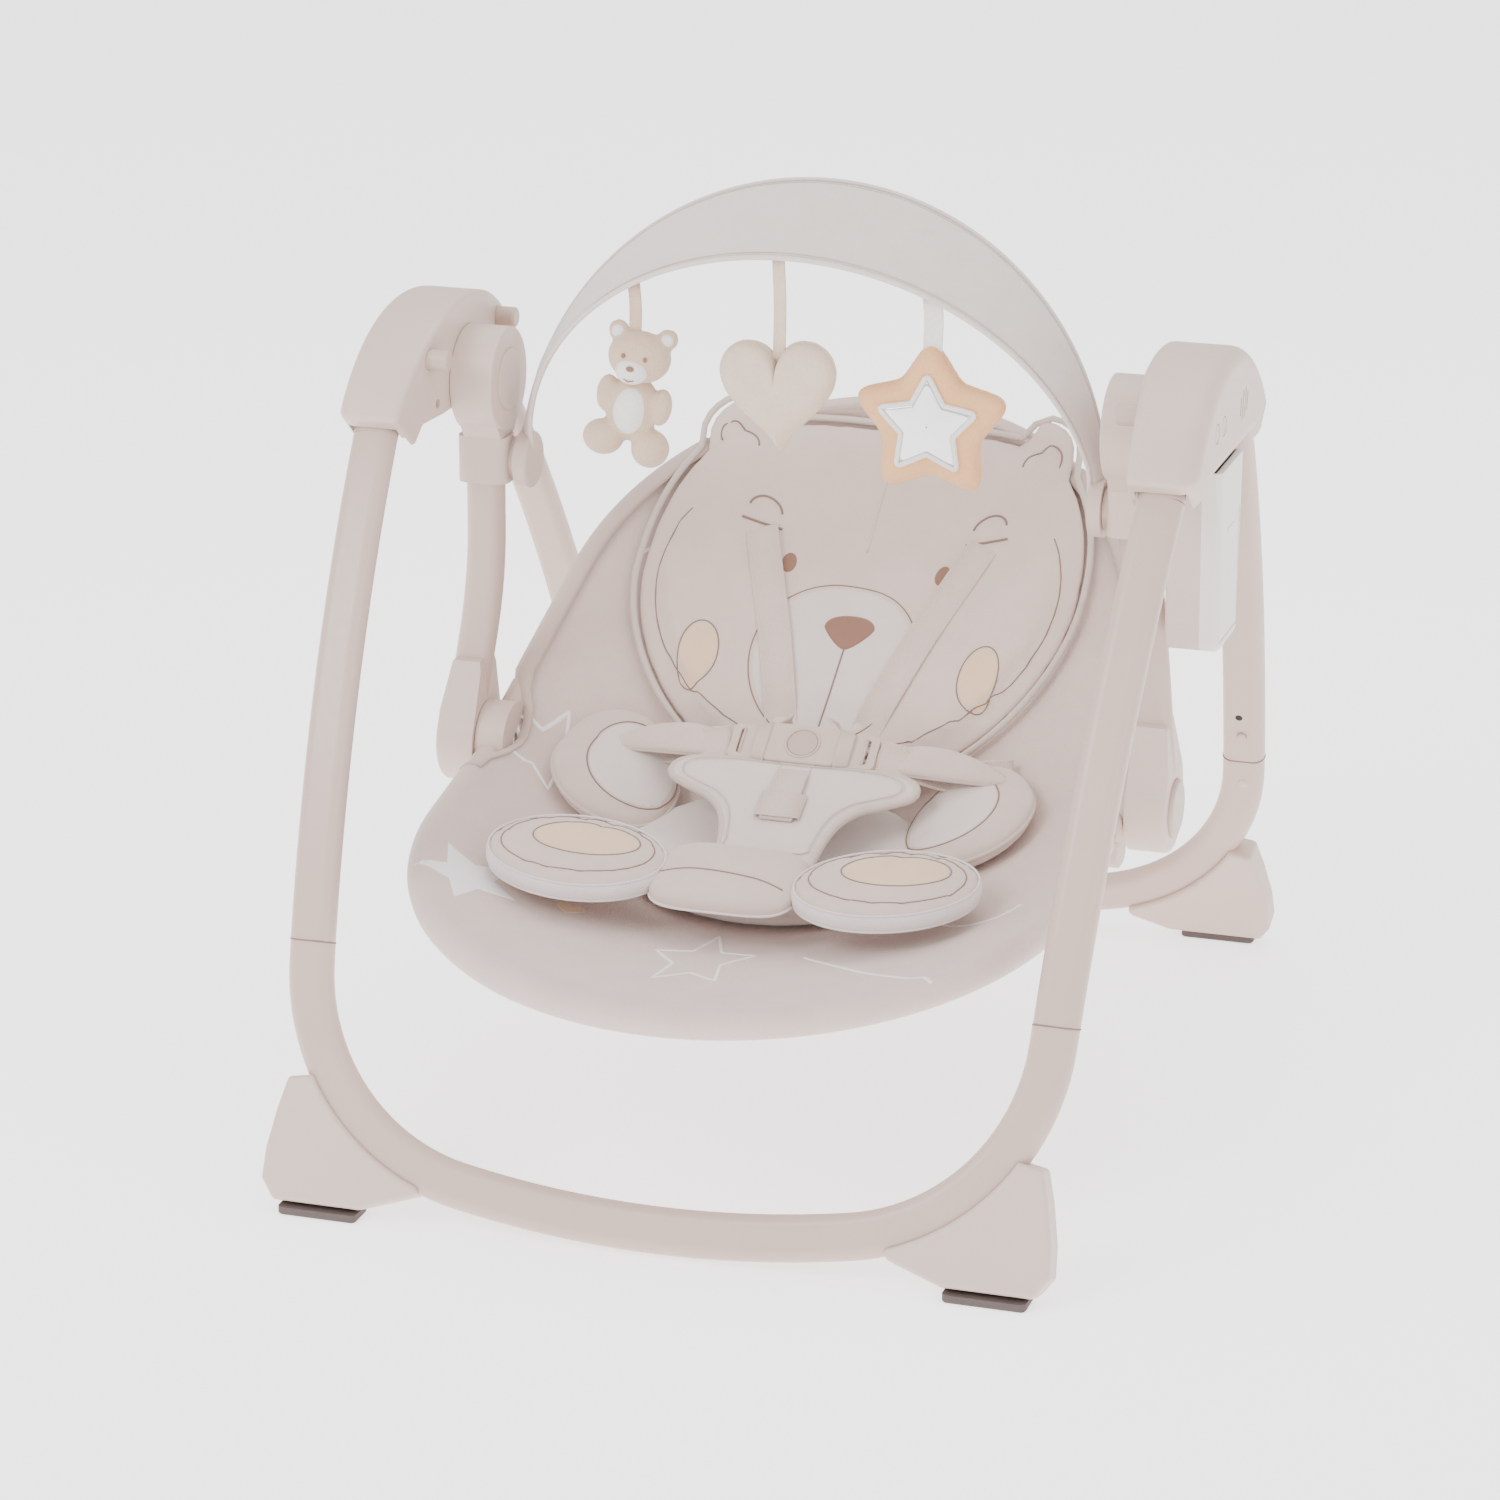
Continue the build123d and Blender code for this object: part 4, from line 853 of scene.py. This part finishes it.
def crotch_outline():
    """T shape with concave sides, corners rounded."""
    half = [(0, 47), (50, 48), (82, 44), (92, 36), (90, 26), (74, 17), (56, 8), (44, -6), (38, -24), (35, -44),
            (30, -53)]
    pts = half + [(-x, y) for x, y in reversed(half[1:])]
    return [(p.x, p.y) for p in smooth([(x, y, 0) for x, y in pts], 4.0, closed=True)]


def crotch_pad():
    place = tilted(CROTCH_O, CROTCH_TILT)
    outline = crotch_outline()
    pad = cushion("crotch_pad_soft", outline, (0, 22), lambda u, v, h: place(u, v, h - 5), 11.0, "cream", "seat",
                  rings=24, square=0.35, slot="insert_fabric", flat=0.5, pucker=0.2)
    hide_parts("crotch_pad")
    cord_mesh("crotch_edge", [place(u, v, 0.6) for u, v in outline], 3.0, "piping", "seat", closed=True,
              slot="insert_fabric")
    inner = [place(u * 0.90, 22 + (v - 22) * 0.86, 6.0) for u, v in outline]
    cord_mesh("crotch_stitch", inner, 0.45, "piping", "seat", closed=True, sides=5)


STRAP_W, STRAP_T = 25.0, 1.6


def harness():
    """Shoulder, waist and crotch straps with their adjusters, modelled straight from the buckle."""
    place = tilted(BUCKLE_O, BUCKLE_TILT)
    for s, side in SIDES:
        points = []
        for k, (x, y) in enumerate(((88, 181), (86, 173), (72, 142), (56, 107), (40, 68), (28, 38))):
            sink = -5.0 if k == 0 else 2.2
            points.append((s * x, y, on_head(s * x, y) + sink))
        points.append(place(s * 22, 16, 6))
        webbing(f"shoulder_strap_{side}", points, (0, -0.6, 0.8), STRAP_W, STRAP_T, "web", "seat")
        printed_line(f"strap_slot_{side}", [(s * 88 - 16, 180), (s * 88 + 16, 180)], on_head, 1.1, "line")
        end = [place(s * 56, 0, 0), place(s * 76, -3, -2)]
        end += [(s * x, y, cloth(s * x, y) + h) for x, y, h in ((104, 13, 30), (130, 19, 20), (152, 27, 8))]
        webbing(f"waist_strap_{side}", end, (0, -0.7, 0.7), STRAP_W, STRAP_T, "web", "seat")
        leaf = [(60, -3), (66, 9), (86, 17), (112, 18), (136, 14), (152, 7), (140, -1), (112, -7), (84, -10),
                (64, -10)]
        outline = [(s * p.x, p.y) for p in smooth([(x, y, 0) for x, y in leaf], 4.0, closed=True)]
        on_hip = tilted((0, 3, 243), 36)

        def wrap(u, v, h, on_hip=on_hip):
            return on_hip(u, v - 0.0009 * (abs(u) - 60) ** 2, h - 4 - 0.0011 * (abs(u) - 60) ** 2)
        pad = cushion(f"waist_pad_{side}", outline, (s * 106, 4), wrap, 9.0, "web", "seat", rings=18, square=0.4,
                      slot="insert_fabric", flat=0.5, pucker=0.3)
        edge = [wrap(u, v, 4.5) for u, v in outline]
        cord_mesh(f"waist_pad_edge_{side}", edge, 0.9, "piping", "seat", closed=True)
        tri_glide(f"shoulder_adjuster_{side}", s * 28, 34)
    crotch = tilted(CROTCH_O, CROTCH_TILT)
    points = [place(0, -14, 3), place(0, -20, 3), crotch(0, 26, 8.4), crotch(0, 8, 8.0), crotch(0, -14, 7.6)]
    webbing("crotch_strap", points, (0, -0.5, 0.85), STRAP_W, STRAP_T, "web", "seat")
    rows = []
    for v in (12, 9, -9, -12):
        rows.append([crotch(u, v, h) for u, h in ((-17, 7.4), (-16.4, 9.6), (16.4, 9.6), (17, 7.4))])
    piece("crotch_stitch_patch", *lattice(rows), "web", "seat", "webbing")
    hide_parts("harness_straps")


def tri_glide(name, x, y):
    """Rectangular strap adjuster lying on the strap: a frame with a middle bar."""
    place = tilted((x, y, on_head(x, y) + 5.5), 34)
    rows = []
    for a in turns(40):
        c, s = cos(a), sin(a)
        u, v = squared(c, 0.35), squared(s, 0.35)
        rows.append([place(u * (16.5 + du), v * (9.5 + du), dh)
                     for du, dh in ((-2, -1.4), (2, -1.4), (2.4, 0), (2, 1.4), (-2, 1.4), (-2.4, 0))])
    rows.append(rows[0])
    piece(name, *lattice(rows, wrap=True), "shell", "seat", "buckle_shell")
    bar = [[place(u, v, h) for v, h in ((-1.8, 0.4), (-1.4, 1.8), (1.4, 1.8), (1.8, 0.4))] for u in (-15, 0, 15)]
    piece(f"{name}_bar", *lattice(bar, wrap=True, ends=True), "shell", "seat", "buckle_shell")


def buckle_trim():
    """Raised shoulders over the tongues and the finger ring round the button."""
    place = tilted(BUCKLE_O, BUCKLE_TILT)
    ring = [place(12.6 * cos(a), 12.6 * sin(a), 6.3) for a in turns(48)]
    cord_mesh("buckle_ring", ring, 0.9, "shell", "seat", closed=True, slot="buckle_shell")
    for s, side in SIDES:
        rows = []
        for u in (26, 28, 33, 36, 37):
            wide = 17 - (u - 26) * 0.25
            high = 7.2 - (u - 26) * 0.22
            rows.append([place(s * u, wide * c, max(0.0, high) * q) for c, q in
                         ((-1, -0.6), (-1.02, 0.5), (-0.92, 0.95), (0, 1.05), (0.92, 0.95), (1.02, 0.5), (1, -0.6))])
        piece(f"buckle_shoulder_{side}", *lattice(rows, wrap=True, ends=True), "shell", "seat", "buckle_shell")
        grip = [place(s * 46.5, v, 2.6) for v in (-11, 11)]
        cord_mesh(f"tongue_rib_{side}", grip, 1.0, "shell", "seat", sides=8, slot="buckle_shell")


crotch_pad()
harness()
buckle_trim()


# ---- stand details ----------------------------------------------------------------------------
JOINT = (265.7, 295.0, 175.5)
FLOOR_LEAN = 20.4
TUBE_W, TUBE_T = 32.5, 18.0


def tube_section(s, end, along, grow=0.0):
    """The flat-oval section along millimetres up from the tube joint; end is -1 in front."""
    lean = radians(FLOOR_LEAN)
    middle = Vector((s * JOINT[0], end * (JOINT[1] - along * sin(lean)), JOINT[2] + along * cos(lean)))
    out = Vector((0, end * cos(lean), sin(lean)))
    r, flat = TUBE_T / 2 + grow, (TUBE_W - TUBE_T) / 2
    ring = []
    for a in turns(40):
        sideways = r * cos(a) + (flat if cos(a) > 0 else -flat)
        ring.append(middle + Vector((1, 0, 0)) * sideways + out * (r * sin(a)))
    return ring, middle, out


def dome(name, at, out, radius, height, mat, body):
    """A rivet or screw head standing out of a surface."""
    side = out.orthogonal().normalized()
    up = out.cross(side)
    rows = []
    for k in range(9):
        a = pi / 2 * k / 8
        ring = [at + out * (height * sin(a) - 0.3) + (side * cos(t) + up * sin(t)) * max(radius * cos(a), 0.05)
                for t in turns(24)]
        rows.append(ring)
    return piece(name, *lattice(rows, wrap=True, ends=True), mat, body)


def stand_details():
    """Thin dark rings at the tube joints, painted shade for the gaps between the tube sections; rivets below them;
    and the spare adjustment hole, a dark disc of painted shade.
    """
    for end, frame_name, where in ((-1, "front_frame", "front"), (1, "rear_frame", "rear")):
        for s, side in SIDES:
            # Each joint line is a thin dark ring of painted shade standing for the shadow in the gap between two tube
            # sections.
            ring = tube_section(s, end, -0.4, 0.05)[0]
            cord_mesh(f"joint_shade_line_{where}_{side}", ring, 0.55, "line", frame_name, closed=True, sides=6)
            for along, radius, name, mat in ((-22, 4.2, "rivet", "shell"), (44, 3.0, "spare_hole_shade", "dark")):
                middle, out = tube_section(s, end, along)[1:]
                face = middle - out * (TUBE_T / 2)
                # The spare hole is a dark disc sunk into the tube face: painted shade standing for the hole's
                # shadowed inside.
                if name == "spare_hole_shade":
                    face -= out * 1.6
                dome(f"{name}_{where}_{side}", face, -out, radius, 1.6 if name == "rivet" else 0.5, mat, frame_name)


stand_details()


# ---- toy bar --------------------------------------------------------------------------------
def arch_point(edge, u):
    span, rise, lean = edge
    x, h = span * cos(radians(u)), rise * sin(radians(u))
    return Vector((x, TOY_Y - h * sin(radians(lean)), TOY_Z + h * cos(radians(lean))))


def band_frame(u):
    """Middle, half width vector and outward normal of the band at u degrees."""
    f, r = arch_point(BAND_FRONT, u), arch_point(BAND_REAR, u)
    ahead = arch_point(BAND_FRONT, u + 1) + arch_point(BAND_REAR, u + 1) - f - r
    across = r - f
    half = across.normalized() * max(across.length / 2, 9.0)
    normal = across.cross(ahead).normalized()
    if normal.z < 0:
        normal = -normal
    if abs(normal.z) < 0.2 and normal.x * (f.x + r.x) < 0:
        normal = -normal
    return (f + r) * 0.5, half, normal


def toy_band():
    steps = [4 + 172 * k / 90 for k in range(91)]
    outer, inner, hems = [], [], ([], [])
    for u in steps:
        middle, half, normal = band_frame(u)
        wave = 0.5 * sin(u * 0.37) + 0.4 * sin(u * 0.91 + 1)
        rows = [middle + half * v + normal * (2.6 * (1 - v ** 4) + 0.4 * wave * (1 - v * v))
                for v in np.linspace(-1, 1, 17)]
        outer.append([tuple(p) for p in rows])
        inner.append([tuple(middle + half * float(v) - normal * (1.4 * (1 - v ** 4)))
                      for v in np.linspace(1, -1, 17)])
        hems[0].append(middle - half)
        hems[1].append(middle + half)
    rows = [a + b for a, b in zip(outer, inner)]
    band = piece("toy_band", *lattice(rows, wrap=True, ends=True), "band", "toy_bar", "band_fabric")
    band.data.materials.append(MAT["band_in"])
    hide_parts("toy_bar_band")
    for path, name in zip(hems, ("front", "rear")):
        cord_mesh(f"toy_band_hem_{name}", path, 1.9, "band", "toy_bar", slot="band_fabric")
    for v, name in ((-0.90, "front"), (0.90, "rear")):
        seam = []
        for u in steps[4:-4]:
            middle, half, normal = band_frame(u)
            seam.append(middle + half * v + normal * 1.2)
        cord_mesh(f"toy_band_stitch_{name}", seam, 0.4, "band_in", "toy_bar", sides=5)


toy_band()


# ---- toys -----------------------------------------------------------------------------------
def toy_anchor(k):
    x = TOY_X[k]
    span, rise, lean = BAND_FRONT
    h = rise * sqrt(1 - (x / span) ** 2) - 7
    return Vector((x, TOY_Y - h * sin(radians(lean)) + 6, TOY_Z + h * cos(radians(lean))))


def facing(origin, roll=0.0, turn=0.0):
    """Maps (u, v, h) to an upright plane that faces the baby's feet, rolled in its own plane."""
    o = Vector(origin)
    spin = Matrix.Rotation(radians(turn), 3, "Z") @ Matrix.Rotation(radians(roll), 3, "Y")
    return lambda u, v, h: tuple(o + spin @ Vector((u, -h, v)))


def joined_blobs(name, blobs, place, mat, body, voxel=1.7, slot=None):
    """Ellipsoids melted into one soft body."""
    verts, faces = [], []
    for u, v, h, a, b, c in blobs:
        rows = []
        for i in range(17):
            t = pi * i / 16
            rows.append([place(u + a * sin(t) * cos(p), v + b * cos(t), h + c * sin(t) * sin(p))
                         for p in turns(28)])
        more, quads = lattice(rows, wrap=True)
        faces += [tuple(i + len(verts) for i in q) for q in quads]
        verts += more
    obj = piece(name, verts, faces, mat, body, slot)
    remesh = obj.modifiers.new("melt", "REMESH")
    remesh.mode = "VOXEL"
    remesh.voxel_size = voxel * MM
    soft = obj.modifiers.new("soft", "SMOOTH")
    soft.iterations = 7
    soft.factor = 0.6
    applied(obj)
    return obj


def upright_pad(name, outline, centre, place, thick, mat, body, square=0.5, slot=None, rings=28):
    """A stuffed toy half-and-half about its seam."""
    return cushion(name, outline, centre, lambda u, v, h: place(u, v, h - thick / 2), thick, mat, body, rings=rings,
                   square=square, slot=slot, flat=0.5, pucker=0.6)


def toy_strap(name, k, bottom, width, mat, body):
    top = toy_anchor(k)
    points = [(top.x, top.y - 2, top.z + 6), (top.x + 1, top.y - 1, (top.z + bottom) / 2 + 6),
              (top.x, top.y, bottom)]
    return webbing(name, points, (0, -1, 0), width, 1.8, mat, body, slot=None, lip=0.1)


def bear():
    top = toy_anchor(0)
    place = facing((top.x, top.y, 518), roll=9.0, turn=6.0)
    body = joined_blobs("bear_toy_body", [(0, -14, 0, 19, 24, 16), (-19, -6, 3, 8, 14, 8), (21, -9, 3, 8, 14, 8),
                                          (-17, -38, 5, 15, 13, 13), (18, -40, 5, 14, 14, 13)], place, "toy", "bear",
                        slot="toy_plush")
    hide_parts("bear_toy")
    head = joined_blobs("bear_toy_head", [(0, 24, 2, 23, 19, 17), (-18, 40, 0, 8, 8, 5), (18, 40, 0, 8, 8, 5)], place,
                        "toy", "bear", slot="toy_plush")
    joined_blobs("bear_toy_belly", [(0, -14, 6, 13.5, 19, 12.5)], place, "toy_white", "bear")
    joined_blobs("bear_toy_muzzle", [(-2, 16, 15, 12, 9.5, 8)], place, "toy_white", "bear", 1.2)
    for s, side in SIDES:
        joined_blobs(f"bear_toy_ear_{side}", [(s * 18, 40, 3.2, 5, 5, 3)], place, "toy_white", "bear", 0.9)
        joined_blobs(f"bear_toy_eye_{side}", [(s * 8 - 1, 27, 18.0, 1.7, 2.0, 1.4)], place, "brown", "bear", 0.45)
    joined_blobs("bear_toy_nose", [(-2, 19.5, 22.2, 3.2, 2.2, 1.7)], place, "brown", "bear", 0.5)
    smile = [place(-6, 11.5, 21.0), place(-2, 10, 22.3), place(2, 11.5, 21.2)]
    cord_mesh("bear_toy_mouth", smile, 0.5, "brown", "bear")
    toy_strap("bear_toy_strap", 0, 552, 9, "toy", "bear")


def heart():
    top = toy_anchor(1)
    place = facing((top.x, top.y, 524), roll=-3.0)
    outline = [(42 * x, 45 * y) for x, y in heart_outline(96)]
    pad = upright_pad("heart_toy_pad", outline, (0, 0), place, 27.0, "heart", "heart", 0.55, "toy_heart")
    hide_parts("heart_toy")
    seam = [place(u * 1.002, v * 1.002, 0) for u, v in outline]
    cord_mesh("heart_toy_seam", seam, 0.9, "heart", "heart", closed=True)
    toy_strap("heart_toy_strap", 1, 548, 9, "heart", "heart")


def soft_star(outer, inner, blur, count=150):
    """Star outline whose tips and notches are rounded by blurring its radius."""
    radius = []
    for k in range(count):
        a = (360 * k / count) % 72
        a = radians(a if a < 36 else 72 - a)
        whole = radians(36)
        radius.append(outer * inner * sin(whole) / (outer * sin(a) + inner * sin(whole - a)))
    tripled = smoothed(np.array(radius * 3), blur)
    radius = tripled[count:2 * count]
    return [(radius[k] * cos(2 * pi * k / count + pi / 2), radius[k] * sin(2 * pi * k / count + pi / 2))
            for k in range(count)]


def star():
    top = toy_anchor(2)
    place = facing((top.x, top.y, 511), roll=0.0)
    outline = soft_star(61, 36, 2.4)
    pad = upright_pad("star_toy_pad", outline, (0, 0), place, 24.0, "orange", "star", 0.5, "toy_star")
    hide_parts("star_toy")
    film = soft_star(36, 19, 1.0)
    rows = [[place(u * g, v * g, 13.6 - 0.6 * g * g) for u, v in film] for g in (0.02, 0.3, 0.6, 0.85, 1.0)]
    rows.append([place(u, v, 9.0) for u, v in film])
    piece("star_toy_mirror", *lattice(rows, wrap=True), "mirror", "star")
    piping = [place(u * 1.04, v * 1.04, 12.6) for u, v in film]
    cord_mesh("star_toy_piping", piping, 1.9, "toy_white", "star", closed=True)
    seam = [place(u * 1.003, v * 1.003, 0) for u, v in outline]
    cord_mesh("star_toy_seam", seam, 0.8, "orange", "star", closed=True)
    toy_strap("star_toy_strap", 2, 560, 14, "toy_white", "star")


bear()
heart()
star()


# ---- stage, light and camera ----------------------------------------------------------------
def stage():
    mesh = bpy.data.meshes.new("floor")
    size = 60.0
    mesh.from_pydata([(-size, -size, 0), (size, -size, 0), (size, size, 0), (-size, size, 0)], [], [(0, 1, 2, 3)])
    floor = bpy.data.objects.new("floor", mesh)
    n = Nodes("pale_floor")
    n.set(Base_Color=(0.86, 0.86, 0.86, 1), Roughness=0.9, Specular_IOR_Level=0.1, Emission_Strength=1.6)
    mesh.materials.append(n.mat)
    bpy.context.collection.objects.link(floor)
    world = bpy.data.worlds.new("studio")
    bpy.context.scene.world = world
    world.use_nodes = True
    world.node_tree.nodes["Background"].inputs["Color"].default_value = (1, 1, 1, 1)
    world.node_tree.nodes["Background"].inputs["Strength"].default_value = 1.35


def softbox(name, where, target, size, power):
    data = bpy.data.lights.new(name, "AREA")
    data.shape = "DISK"
    data.size = size
    data.energy = power
    obj = bpy.data.objects.new(name, data)
    obj.location = where
    obj.rotation_euler = (Vector(target) - Vector(where)).to_track_quat("-Z", "Y").to_euler()
    bpy.context.collection.objects.link(obj)


CAMERA_AT = (0.98510, -3.24548, 1.39251)
AZIMUTH, ELEVATION = 17.6, 18.7
LENS = 117.96


def camera():
    data = bpy.data.cameras.new("camera")
    data.lens = LENS
    data.sensor_width = 36.0
    data.shift_x, data.shift_y = 0.003, 0.002
    data.clip_end = 200.0
    obj = bpy.data.objects.new("camera", data)
    obj.location = CAMERA_AT
    obj.rotation_euler = (radians(90 - ELEVATION), 0, radians(AZIMUTH))
    bpy.context.collection.objects.link(obj)
    bpy.context.scene.camera = obj


stage()
softbox("key", (-1.8, -2.4, 2.6), (0, 0, 0.3), 1.8, 70)
softbox("fill", (2.4, -1.6, 1.7), (0, 0, 0.3), 2.2, 18)
softbox("top", (0.2, 0.6, 3.0), (0, 0, 0.3), 2.4, 36)
camera()
